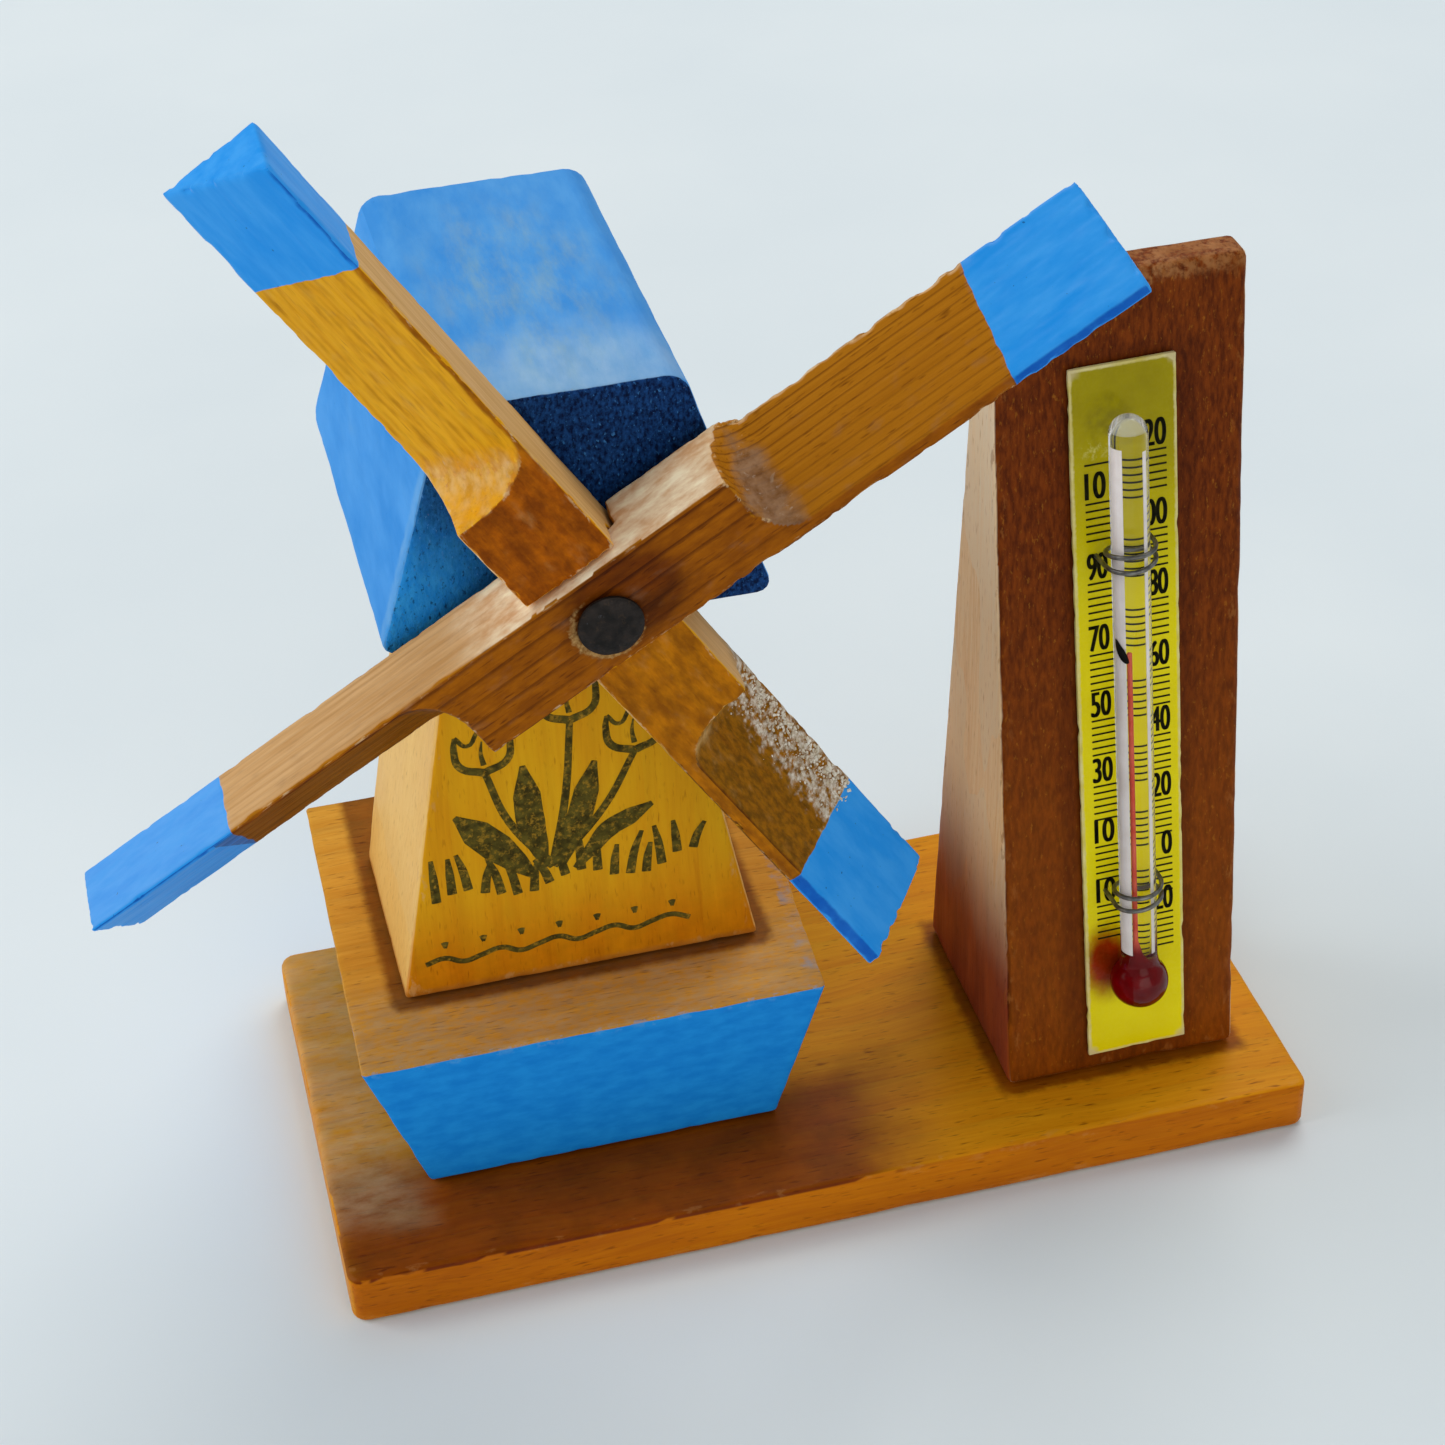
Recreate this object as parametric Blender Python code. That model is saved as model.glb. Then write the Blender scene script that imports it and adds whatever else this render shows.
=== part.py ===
"""Wooden windmill desk ornament with a spirit thermometer, in metres, +Z up.

The origin is the middle of the base board's underside, +X runs along the
board's long side and -Y is the front.  The sails turn on the hub nail, whose
axis runs along Y.
"""
import math

import bmesh
import bpy
from mathutils import Matrix, Vector

MM = 0.001
GAP = 0.3 * MM                      # between neighbouring solids that touch

# base board: quarter-inch stock, four and a half inches long
BASE_LENGTH = 114.3 * MM
BASE_DEPTH = 58.5 * MM
BASE_HEIGHT = 6.5 * MM
BASE_CORNER = 1.8 * MM

# plinth: a block narrower at the foot than at the top
PLINTH_X = -25.0 * MM
PLINTH_FRONT = -16.3 * MM
PLINTH_DEPTH = 50.6 * MM
PLINTH_HEIGHT = 18.5 * MM
PLINTH_TOP_WIDTH = 53.8 * MM
PLINTH_FOOT_WIDTH = 41.2 * MM
PLINTH_SKEW = (0.8 * MM, 2.4 * MM)  # the back's left and right, sawn out of square

# tower: tapers at its sides, straight at front and back
TOWER_X = -24.2 * MM
TOWER_FRONT = -5.6 * MM
TOWER_DEPTH = 27.6 * MM
TOWER_FOOT_WIDTH = 41.8 * MM
TOWER_TOP_WIDTH = 20.4 * MM

# cap: the mill's roof, overhanging the tower at the front
CAP_X = -24.2 * MM
CAP_FRONT = -20.0 * MM
CAP_DEPTH = 48.0 * MM
CAP_UNDERSIDE = 82.3 * MM
CAP_HEIGHT = 26.6 * MM
CAP_FOOT_WIDTH = 41.5 * MM
CAP_TOP_WIDTH = 23.8 * MM
CAP_CORNER = 1.8 * MM

# sails: two slats halved into each other on the hub nail
HUB_X = -23.3 * MM
HUB_Z = 89.8 * MM
SLAT_WIDTH = 10.5 * MM
SLAT_THICKNESS = 9.5 * MM
SLAT_STEP = 1.0 * MM                # the front slat stands proud of the rear one
SAIL_CLEARANCE = 1.0 * MM           # between the rear slat and the cap
FRONT_SLAT_ANGLE = math.radians(31.0)
REAR_SLAT_ANGLE = math.radians(122.6)
FRONT_SLAT_ARMS = (59.9 * MM, 58.9 * MM)
REAR_SLAT_ARMS = (57.3 * MM, 56.5 * MM)
FRONT_SLAT_OFFSET = 0.4 * MM        # its nail hole is drilled beside the middle
REAR_SLAT_OFFSET = 0.0
SCOOP_START = 17.3 * MM             # where the blade's carving begins
SCOOP_RADIUS = 4.5 * MM
FRONT_EDGE_STRIPS = (1.2 * MM, 0.5 * MM)    # flat left along each blade's edge
REAR_EDGE_STRIPS = (0.4 * MM, 1.5 * MM)
FRONT_BLADE_REACH = -1.1 * MM       # blade's rear edge, from the slat's side
REAR_BLADE_REACH = 0.4 * MM

# hub nail: driven into the cap, loose in the sails
NAIL_HEAD_RADIUS = 3.3 * MM
NAIL_HEAD_HEIGHT = 1.0 * MM
NAIL_RADIUS = 1.45 * MM
NAIL_IN_CAP = 21.0 * MM

# thermometer post: a wedge that is thickest at its foot
POST_X = 37.1 * MM
POST_WIDTH = 28.1 * MM
POST_HEIGHT = 99.0 * MM
POST_FOOT_FRONT = -19.9 * MM
POST_FOOT_BACK = 10.6 * MM
POST_TOP_FRONT = -6.85 * MM
POST_TOP_BACK = -2.5 * MM

# scale plate and thermometer, on the post's sloping face
PLATE_WIDTH = 12.0 * MM
PLATE_LENGTH = 87.0 * MM
PLATE_THICKNESS = 0.6 * MM
PLATE_SIDE = 0.7 * MM
PLATE_MIDDLE = 46.6 * MM
PLATE_TILT = math.radians(-1.22)
TUBE_RADIUS = 2.1 * MM
TUBE_BORE_RADIUS = 0.8 * MM
TUBE_OFF_FACE = 4.3 * MM
TUBE_LENGTH = 70.7 * MM             # from the bulb's middle to the top
BULB_SIDE = 0.6 * MM
BULB_UP_FACE = 14.9 * MM
BULB_RADIUS = 3.3 * MM
BULB_WALL = 0.6 * MM
SPIRIT_LENGTH = 43.5 * MM           # from the bulb's middle to the reading
SPIRIT_RADIUS = 0.5 * MM

# wire clips: one and a half turns round the tube, with a leg into the post
WIRE_RADIUS = 0.27 * MM
CLIP_PITCH = 1.6 * MM
CLIP_HEIGHTS = {"clip_lower": 10.8 * MM, "clip_upper": 53.4 * MM}
CLIP_TURNS = 1.5
CLIP_STEPS = 30
CLIP_LEG_IN_POST = 4.0 * MM
CLIP_HOLE_RADIUS = 0.6 * MM

# brads: up through the base board
BRAD_HEAD_RADIUS = 1.2 * MM
BRAD_HEAD_HEIGHT = 0.6 * MM
BRAD_RADIUS = 0.7 * MM
BRAD_LENGTH = 19.0 * MM
BRAD_SINK = 0.4 * MM                # head below the board's underside
BRAD_PLACES = {
    "brad_plinth_left": (-37.0 * MM, 6.0 * MM),
    "brad_plinth_right": (-13.0 * MM, 6.0 * MM),
    "brad_post_left": (30.0 * MM, -5.0 * MM),
    "brad_post_right": (44.0 * MM, -5.0 * MM),
}

# rounded edges and the steps of turned shapes
EDGE_ROUND = 0.5 * MM
EDGE_SEGMENTS = 2
SLAT_EDGE_ROUND = 0.3 * MM
SLAT_EDGE_SEGMENTS = 1
POST_EDGE_ROUND = 0.8 * MM
CORNER_SEGMENTS = 4
ROUNDED_ABOVE = math.radians(40)    # edges that turn more than this are rounded
SMOOTH_BELOW = math.radians(35)     # and edges that turn less are shaded smooth
ROUND_SIDES = 24
HOLE_SIDES = 16
CLIP_HOLE_SIDES = 10
SCOOP_STEPS = 6                     # quarter circle at the hub end of each blade
BULB_STEPS = 10
CAVITY_STEPS = 8
DOME_STEPS = 5
WELD = 1e-6                         # points closer than this are one point

# nails and brads, as shares of the head or the shank
HEAD_FLAT = 0.85
HEAD_SHOULDER = 0.3
POINT_LENGTH = 2.5
POINT_END = 0.2

# how far cutters pass beyond what they cut
DRILL_OVERSHOOT = 5 * MM
BLADE_CUT_HEIGHT = 2 * SLAT_WIDTH
BLADE_CUT_SPAN = 4 * SLAT_WIDTH
HALVING_SPAN = 4 * SLAT_WIDTH

PLINTH_TOP = BASE_HEIGHT + PLINTH_HEIGHT
SAILS_BACK = CAP_FRONT - SAIL_CLEARANCE
REAR_SLAT_FRONT = SAILS_BACK - SLAT_THICKNESS
FRONT_SLAT_FRONT = REAR_SLAT_FRONT - SLAT_STEP
LAP_PLANE = (FRONT_SLAT_FRONT + SLAT_THICKNESS + REAR_SLAT_FRONT) / 2
POST_LEAN = math.atan2(POST_TOP_FRONT - POST_FOOT_FRONT, POST_HEIGHT)


def clear_scene():
    for thing in list(bpy.data.objects):
        bpy.data.objects.remove(thing, do_unlink=True)


def make_material(name, colour, roughness, metallic=0.0):
    material = bpy.data.materials.new(name)
    material.use_nodes = True
    shader = material.node_tree.nodes["Principled BSDF"]
    shader.inputs["Base Color"].default_value = (*colour, 1.0)
    shader.inputs["Roughness"].default_value = roughness
    shader.inputs["Metallic"].default_value = metallic
    return material


def add_object(name, bm, material=None):
    """Closes a bmesh into a named object with its faces pointing out."""
    bmesh.ops.recalc_face_normals(bm, faces=bm.faces)
    mesh = bpy.data.meshes.new(name)
    bm.to_mesh(mesh)
    bm.free()
    piece = bpy.data.objects.new(name, mesh)
    bpy.context.scene.collection.objects.link(piece)
    if material:
        mesh.materials.append(material)
    return piece


def round_edges(piece, width=EDGE_ROUND, segments=EDGE_SEGMENTS):
    bevel = piece.modifiers.new("rounded edges", "BEVEL")
    bevel.width = width
    bevel.segments = segments
    bevel.limit_method = "ANGLE"
    bevel.angle_limit = ROUNDED_ABOVE


def shade_round(piece):
    piece.data.shade_smooth()
    piece.data.set_sharp_from_angle(angle=SMOOTH_BELOW)


def extrude_outline(points, travel, corner=0.0):
    """A prism from a flat outline, with the outline's corners rounded first."""
    bm = bmesh.new()
    face = bm.faces.new([bm.verts.new(point) for point in points])
    if corner:
        bmesh.ops.bevel(bm, geom=list(face.verts), affect="VERTICES", offset=corner,
                        segments=CORNER_SEGMENTS, profile=0.5, material=-1)
    extruded = bmesh.ops.extrude_face_region(bm, geom=list(bm.faces))
    moved = [part for part in extruded["geom"] if isinstance(part, bmesh.types.BMVert)]
    bmesh.ops.translate(bm, verts=moved, vec=travel)
    return bm


def trapezoid_block(x, front, depth, foot, height, foot_width, top_width, corner=0.0):
    """A block whose sides slope, seen from the front, and whose ends are upright."""
    outline = [
        (x - foot_width / 2, front, foot),
        (x + foot_width / 2, front, foot),
        (x + top_width / 2, front, foot + height),
        (x - top_width / 2, front, foot + height),
    ]
    return extrude_outline(outline, (0, depth, 0), corner)


def cylinder(start, end, radius, sides=HOLE_SIDES):
    """A closed cylinder between two points."""
    start = Vector(start)
    end = Vector(end)
    along = end - start
    place = Matrix.Translation((start + end) / 2) @ along.to_track_quat("Z", "Y").to_matrix().to_4x4()
    bm = bmesh.new()
    bmesh.ops.create_cone(bm, cap_ends=True, segments=sides, radius1=radius, radius2=radius,
                          depth=along.length, matrix=place)
    return bm


def cut(piece, bm, place=None):
    """Cuts a shape out of a piece and keeps the cutter as a hidden guide."""
    cutter = add_object(f"{piece.name}_cutter_{len(piece.modifiers)}", bm)
    cutter.hide_render = True
    cutter.display_type = "WIRE"
    if place is not None:
        cutter.matrix_world = place
    boolean = piece.modifiers.new(cutter.name, "BOOLEAN")
    boolean.operation = "DIFFERENCE"
    boolean.solver = "EXACT"
    boolean.object = cutter


def turn_profile(profile, sides=ROUND_SIDES):
    """A closed body turned about Z from (radius, height) points that start and end on the axis."""
    bm = bmesh.new()
    verts = [bm.verts.new((radius, 0, height)) for radius, height in profile]
    edges = [bm.edges.new(pair) for pair in zip(verts, verts[1:])]
    bmesh.ops.spin(bm, geom=verts + edges, cent=(0, 0, 0), axis=(0, 0, 1),
                   angle=2 * math.pi, steps=sides, use_merge=True)
    bmesh.ops.remove_doubles(bm, verts=bm.verts, dist=WELD)
    return bm


def arc(radius, start, end, steps, middle=0.0):
    """(radius, height) points along an arc centred on the axis, angles from the equator."""
    turn = [start + (end - start) * step / steps for step in range(steps + 1)]
    return [(radius * math.cos(angle), middle + radius * math.sin(angle)) for angle in turn]


def build_base(material):
    half_x = BASE_LENGTH / 2
    half_y = BASE_DEPTH / 2
    outline = [(-half_x, -half_y, 0), (half_x, -half_y, 0), (half_x, half_y, 0), (-half_x, half_y, 0)]
    board = add_object("base_board", extrude_outline(outline, (0, 0, BASE_HEIGHT), BASE_CORNER), material)
    round_edges(board)
    return board


def build_mill_body(bare_wood, tower_wood, blue_paint):
    plinth = add_object("plinth_block", trapezoid_block(
        PLINTH_X, PLINTH_FRONT, PLINTH_DEPTH, BASE_HEIGHT + GAP, PLINTH_HEIGHT - GAP,
        PLINTH_FOOT_WIDTH, PLINTH_TOP_WIDTH), bare_wood)
    back = [vert for vert in plinth.data.vertices if vert.co.y > PLINTH_FRONT + PLINTH_DEPTH / 2]
    for vert in back:
        vert.co.x += PLINTH_SKEW[0] if vert.co.x < PLINTH_X else PLINTH_SKEW[1]
    round_edges(plinth)
    tower = add_object("tower_block", trapezoid_block(
        TOWER_X, TOWER_FRONT, TOWER_DEPTH, PLINTH_TOP + GAP, CAP_UNDERSIDE - PLINTH_TOP - 2 * GAP,
        TOWER_FOOT_WIDTH, TOWER_TOP_WIDTH), tower_wood)
    round_edges(tower)
    cap = add_object("cap_block", trapezoid_block(
        CAP_X, CAP_FRONT, CAP_DEPTH, CAP_UNDERSIDE, CAP_HEIGHT,
        CAP_FOOT_WIDTH, CAP_TOP_WIDTH, CAP_CORNER), blue_paint)
    round_edges(cap)
    hole_end = CAP_FRONT + NAIL_IN_CAP + GAP
    cut(cap, cylinder((HUB_X, CAP_FRONT - DRILL_OVERSHOOT, HUB_Z), (HUB_X, hole_end, HUB_Z),
                      NAIL_RADIUS + GAP))
    return plinth


def blade_cutter(length, strip, reach):
    """Wood carved off one arm: a round scoop near the hub, then a slanted flat to the tip.

    X runs out along the arm, Y back through the slat and Z across it.  The cut starts
    from the narrow strip left on the front face and reaches the slat's rear edge.
    """
    front_edge = Vector((0, 0, -SLAT_WIDTH / 2 + strip))
    rear_edge = Vector((0, SLAT_THICKNESS, SLAT_WIDTH / 2 + reach))
    across = (rear_edge - front_edge).normalized()
    outward = Vector((0, -across.z, across.y))
    flat_start = SCOOP_START + SCOOP_RADIUS
    tip = length + SLAT_WIDTH
    side = [(SCOOP_START, BLADE_CUT_HEIGHT)]
    for step in range(SCOOP_STEPS + 1):
        angle = math.pi / 2 * step / SCOOP_STEPS
        side.append((flat_start - SCOOP_RADIUS * math.cos(angle), SCOOP_RADIUS * (1 - math.sin(angle))))
    side += [(tip, 0), (tip, BLADE_CUT_HEIGHT)]
    start = front_edge - across * SLAT_WIDTH
    points = [start + Vector((along, 0, 0)) + outward * up for along, up in side]
    return extrude_outline(points, across * BLADE_CUT_SPAN)


def build_slat(name, front, angle, offset, arms, strips, reach, material):
    """One slat of the sails, its origin on the hub axis in its own front plane."""
    bm = bmesh.new()
    bmesh.ops.create_cube(bm, size=1)
    bmesh.ops.scale(bm, verts=bm.verts, vec=(sum(arms), SLAT_THICKNESS, SLAT_WIDTH))
    bmesh.ops.translate(bm, verts=bm.verts,
                        vec=((arms[0] - arms[1]) / 2, SLAT_THICKNESS / 2, offset))
    slat = add_object(name, bm, material)
    slat.location = (HUB_X, front, HUB_Z)
    slat.rotation_euler = (0, -angle, 0)
    bpy.context.view_layer.update()
    round_edges(slat, SLAT_EDGE_ROUND, SLAT_EDGE_SEGMENTS)
    middle = slat.matrix_world @ Matrix.Translation((0, 0, offset))
    for arm, strip, turn in zip(arms, strips, (0, math.pi)):
        cut(slat, blade_cutter(arm, strip, reach), middle @ Matrix.Rotation(turn, 4, "Y"))
    cut(slat, cylinder((0, -DRILL_OVERSHOOT, 0), (0, SLAT_THICKNESS + DRILL_OVERSHOOT, 0), NAIL_RADIUS + GAP),
        slat.matrix_world)
    return slat


def halving_cutter(low, high):
    """The block that one slat takes out of the other, between two depths."""
    bm = bmesh.new()
    bmesh.ops.create_cube(bm, size=1)
    bmesh.ops.scale(bm, verts=bm.verts, vec=(HALVING_SPAN, high - low, SLAT_WIDTH + 2 * GAP))
    bmesh.ops.translate(bm, verts=bm.verts, vec=(0, (low + high) / 2, 0))
    return bm


def slat_middle(angle, offset):
    """Frame along the middle of a slat's width, level with the hub axis."""
    turned = Matrix.Translation((HUB_X, 0, HUB_Z)) @ Matrix.Rotation(-angle, 4, "Y")
    return turned @ Matrix.Translation((0, 0, offset))


def build_sails(material):
    front_slat = build_slat("sail_front", FRONT_SLAT_FRONT, FRONT_SLAT_ANGLE, FRONT_SLAT_OFFSET,
                            FRONT_SLAT_ARMS, FRONT_EDGE_STRIPS, FRONT_BLADE_REACH, material)
    rear_slat = build_slat("sail_rear", REAR_SLAT_FRONT, REAR_SLAT_ANGLE, REAR_SLAT_OFFSET,
                           REAR_SLAT_ARMS, REAR_EDGE_STRIPS, REAR_BLADE_REACH, material)
    cut(front_slat, halving_cutter(LAP_PLANE - GAP / 2, SAILS_BACK + SLAT_WIDTH),
        slat_middle(REAR_SLAT_ANGLE, REAR_SLAT_OFFSET))
    cut(rear_slat, halving_cutter(FRONT_SLAT_FRONT - SLAT_WIDTH, LAP_PLANE + GAP / 2),
        slat_middle(FRONT_SLAT_ANGLE, FRONT_SLAT_OFFSET))


def nail_profile(head_radius, head_height, radius, length):
    """A nail down the axis, its head at the top and its point at the bottom."""
    point = POINT_LENGTH * radius
    return [
        (0, 0),
        (HEAD_FLAT * head_radius, 0),
        (head_radius, -HEAD_SHOULDER * head_height),
        (head_radius, -head_height),
        (radius, -head_height),
        (radius, -length + point),
        (POINT_END * radius, -length),
        (0, -length),
    ]


def build_hub_nail(material):
    head_front = FRONT_SLAT_FRONT - GAP - NAIL_HEAD_HEIGHT
    length = CAP_FRONT + NAIL_IN_CAP - head_front
    nail = add_object("hub_nail", turn_profile(
        nail_profile(NAIL_HEAD_RADIUS, NAIL_HEAD_HEIGHT, NAIL_RADIUS, length)), material)
    nail.location = (HUB_X, head_front, HUB_Z)
    nail.rotation_euler = (math.pi / 2, 0, 0)
    shade_round(nail)


def build_brads(material, board, plinth, post):
    """Brads driven up through the board, each in its own hole."""
    for name, (x, y) in BRAD_PLACES.items():
        brad = add_object(name, turn_profile(nail_profile(
            BRAD_HEAD_RADIUS, BRAD_HEAD_HEIGHT, BRAD_RADIUS, BRAD_LENGTH), HOLE_SIDES), material)
        brad.location = (x, y, BRAD_SINK)
        brad.rotation_euler = (math.pi, 0, 0)
        shade_round(brad)
        hole_top = BRAD_SINK + BRAD_LENGTH + GAP
        block = plinth if "plinth" in name else post
        for piece in (board, block):
            cut(piece, cylinder((x, y, -DRILL_OVERSHOOT), (x, y, hole_top), BRAD_RADIUS + GAP))
        sink_top = BRAD_SINK + BRAD_HEAD_HEIGHT + GAP
        cut(board, cylinder((x, y, -DRILL_OVERSHOOT), (x, y, sink_top), BRAD_HEAD_RADIUS + GAP))


def post_face():
    """Frame on the post's sloping face: X across, Z up the slope, -Y straight out of it."""
    return Matrix.Translation((POST_X, POST_FOOT_FRONT, BASE_HEIGHT)) @ Matrix.Rotation(-POST_LEAN, 4, "X")


def tube_frame():
    """Frame on the thermometer's axis, its origin in the middle of the bulb."""
    return (post_face() @ Matrix.Translation((BULB_SIDE, -TUBE_OFF_FACE, BULB_UP_FACE))
            @ Matrix.Rotation(PLATE_TILT, 4, "Y"))


def build_post(material):
    left = POST_X - POST_WIDTH / 2
    foot = BASE_HEIGHT + GAP
    top = BASE_HEIGHT + POST_HEIGHT
    outline = [
        (left, POST_FOOT_FRONT, foot),
        (left, POST_FOOT_BACK, foot),
        (left, POST_TOP_BACK, top),
        (left, POST_TOP_FRONT, top),
    ]
    post = add_object("thermometer_post", extrude_outline(outline, (POST_WIDTH, 0, 0)), material)
    round_edges(post, POST_EDGE_ROUND)
    return post


def build_plate(material):
    bm = bmesh.new()
    bmesh.ops.create_cube(bm, size=1)
    bmesh.ops.scale(bm, verts=bm.verts, vec=(PLATE_WIDTH, PLATE_THICKNESS, PLATE_LENGTH))
    plate = add_object("scale_plate", bm, material)
    plate.matrix_world = (post_face()
                          @ Matrix.Translation((PLATE_SIDE, -GAP - PLATE_THICKNESS / 2, PLATE_MIDDLE))
                          @ Matrix.Rotation(PLATE_TILT, 4, "Y"))
    return plate


def build_thermometer(glass, spirit):
    """Glass stem and bulb with an open top, and the spirit that stands in it."""
    cavity = BULB_RADIUS - BULB_WALL
    neck = math.acos(TUBE_RADIUS / BULB_RADIUS)
    throat = math.acos(TUBE_BORE_RADIUS / cavity)
    dome = math.acos(TUBE_BORE_RADIUS / TUBE_RADIUS)
    outside = arc(BULB_RADIUS, -math.pi / 2, neck, BULB_STEPS)
    outside += arc(TUBE_RADIUS, 0, dome, DOME_STEPS, TUBE_LENGTH - TUBE_RADIUS)
    inside = list(reversed(arc(cavity, -math.pi / 2, throat, CAVITY_STEPS)))
    stem = add_object("glass_tube", turn_profile(outside + inside), glass)
    fill = cavity - GAP
    shoulder = math.acos(SPIRIT_RADIUS / fill)
    thread = arc(fill, -math.pi / 2, shoulder, CAVITY_STEPS)
    thread += [(SPIRIT_RADIUS, SPIRIT_LENGTH), (0, SPIRIT_LENGTH)]
    column = add_object("spirit_column", turn_profile(thread, HOLE_SIDES), spirit)
    for piece in (stem, column):
        piece.matrix_world = tube_frame()
        shade_round(piece)


def build_clips(material, plate, post):
    """Wire clips: up through the plate, round the tube and back into the post."""
    wrap = TUBE_RADIUS + GAP + WIRE_RADIUS
    depth = TUBE_OFF_FACE + CLIP_LEG_IN_POST
    for name, height in CLIP_HEIGHTS.items():
        path = [Vector((-wrap, depth, height))]
        for step in range(CLIP_STEPS + 1):
            turned = CLIP_TURNS * step / CLIP_STEPS
            angle = math.pi + 2 * math.pi * turned
            rise = CLIP_PITCH * turned
            path.append(Vector((wrap * math.cos(angle), wrap * math.sin(angle), height + rise)))
        path.append(path[-1] + Vector((0, depth, 0)))
        wire = bpy.data.curves.new(name, "CURVE")
        wire.dimensions = "3D"
        wire.bevel_depth = WIRE_RADIUS
        wire.bevel_resolution = 1
        wire.use_fill_caps = True
        spline = wire.splines.new("POLY")
        spline.points.add(len(path) - 1)
        for point, place in zip(spline.points, path):
            point.co = (*place, 1)
        wire.materials.append(material)
        clip = bpy.data.objects.new(name, wire)
        clip.matrix_world = tube_frame()
        bpy.context.scene.collection.objects.link(clip)
        for end in (path[0], path[-1]):
            start = Vector((end.x, 0, end.z))
            past = end + Vector((0, GAP, 0))
            for piece in (plate, post):
                cut(piece, cylinder(start, past, CLIP_HOLE_RADIUS, CLIP_HOLE_SIDES), tube_frame())


def main():
    clear_scene()
    amber_wood = make_material("lacquered amber wood", (0.42, 0.17, 0.03), 0.45)
    tower_wood = make_material("lacquered pale wood", (0.60, 0.33, 0.09), 0.45)
    stained_wood = make_material("dark stained wood", (0.17, 0.055, 0.02), 0.5)
    blue_paint = make_material("blue paint", (0.08, 0.30, 0.78), 0.5)
    dark_steel = make_material("dark steel", (0.05, 0.04, 0.04), 0.5, 0.9)
    wire_steel = make_material("wire", (0.25, 0.25, 0.25), 0.4, 0.9)
    yellow_plate = make_material("yellow printed plate", (0.75, 0.62, 0.05), 0.3)
    clear_glass = make_material("glass", (0.9, 0.9, 0.9), 0.05)
    red_spirit = make_material("red spirit", (0.55, 0.01, 0.01), 0.2)
    board = build_base(amber_wood)
    plinth = build_mill_body(amber_wood, tower_wood, blue_paint)
    build_sails(tower_wood)
    build_hub_nail(dark_steel)
    post = build_post(stained_wood)
    plate = build_plate(yellow_plate)
    build_thermometer(clear_glass, red_spirit)
    build_clips(wire_steel, plate, post)
    build_brads(dark_steel, board, plinth, post)


main()
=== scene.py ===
"""Windmill desk thermometer in painted and varnished pine: its finished surfaces.

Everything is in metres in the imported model's frame: +X along the base board, -Y the
front, +Z up.  Blocks are sawn, rounded and knocked about in mesh code, and each
surface is a wood, metal or plain ground with coats laid over it.
"""

import math
import random

import bmesh
import bpy
from mathutils import Matrix, Vector, geometry, noise


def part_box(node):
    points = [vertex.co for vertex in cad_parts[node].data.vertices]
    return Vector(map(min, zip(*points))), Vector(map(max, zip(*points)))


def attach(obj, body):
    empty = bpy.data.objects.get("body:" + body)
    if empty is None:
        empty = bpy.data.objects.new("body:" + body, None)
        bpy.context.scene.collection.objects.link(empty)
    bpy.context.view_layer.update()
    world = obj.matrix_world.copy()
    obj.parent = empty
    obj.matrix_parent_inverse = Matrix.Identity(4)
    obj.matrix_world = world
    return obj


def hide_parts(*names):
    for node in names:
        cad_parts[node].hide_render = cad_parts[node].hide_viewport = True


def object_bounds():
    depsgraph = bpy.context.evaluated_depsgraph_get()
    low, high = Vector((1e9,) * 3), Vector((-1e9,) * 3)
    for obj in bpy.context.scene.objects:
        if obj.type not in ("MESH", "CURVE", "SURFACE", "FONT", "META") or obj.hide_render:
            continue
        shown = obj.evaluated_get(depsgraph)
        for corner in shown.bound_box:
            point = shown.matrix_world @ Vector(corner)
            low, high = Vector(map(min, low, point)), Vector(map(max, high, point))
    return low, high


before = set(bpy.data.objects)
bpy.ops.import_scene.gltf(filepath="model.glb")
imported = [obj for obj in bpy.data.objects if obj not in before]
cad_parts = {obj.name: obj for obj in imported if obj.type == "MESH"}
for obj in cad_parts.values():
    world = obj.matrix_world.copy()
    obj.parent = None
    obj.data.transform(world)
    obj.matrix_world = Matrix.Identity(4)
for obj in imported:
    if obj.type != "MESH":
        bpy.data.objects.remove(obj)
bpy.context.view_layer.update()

MM = 0.001
GAP = 0.3 * MM

# mill
PLINTH_FOOT = 41.2 * MM
PLINTH_TOP = 53.8 * MM
PLINTH_MIDDLE = -25.0 * MM
PLINTH_SKEW = (0.8 * MM, 2.4 * MM)      # the back's left and right, sawn out of square
TOWER_TOP = 20.4 * MM
CAP_TOP = 23.8 * MM
CAP_CORNER = 1.8 * MM

# sails
HUB = Vector((-23.3 * MM, 0, 89.8 * MM))
SLAT_WIDTH = 10.5
SLAT_THICKNESS = 9.5
SLAT_BACK = -21.0 * MM
SLAT_STEP = 1.0 * MM
SCOOP_START = 17.3
SCOOP_RADIUS = 4.5
NAIL_RADIUS = 1.45
SAIL_VOXEL = 0.3

# thermometer post, plate and tube
POST_WIDTH = 28.1 * MM
POST_FOOT = (-19.9 * MM, 10.6 * MM)
POST_TOP = (-6.85 * MM, -2.5 * MM)
POST_X = 37.1 * MM
PLATE_SIZE = (12.0, 0.6, 87.0)
PLATE_SIDE = 0.7
PLATE_MIDDLE = 46.6
PLATE_TILT = math.radians(-1.22)
TUBE_RADIUS = 2.1
TUBE_OFF_FACE = 4.3
TUBE_LENGTH = 70.7
BULB_SIDE = 0.6
BULB_UP_FACE = 14.9
BULB_RADIUS = 3.3
READING = 43.0                          # spirit above the bulb's middle
WIRE_RADIUS = 0.27
CLIP_HEIGHTS = {"clip_lower": 10.8, "clip_upper": 53.4}

SHEEN = 0.06                            # old lacquer and matt paint reflect less than new


# ---------------------------------------------------------------- finishes

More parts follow.
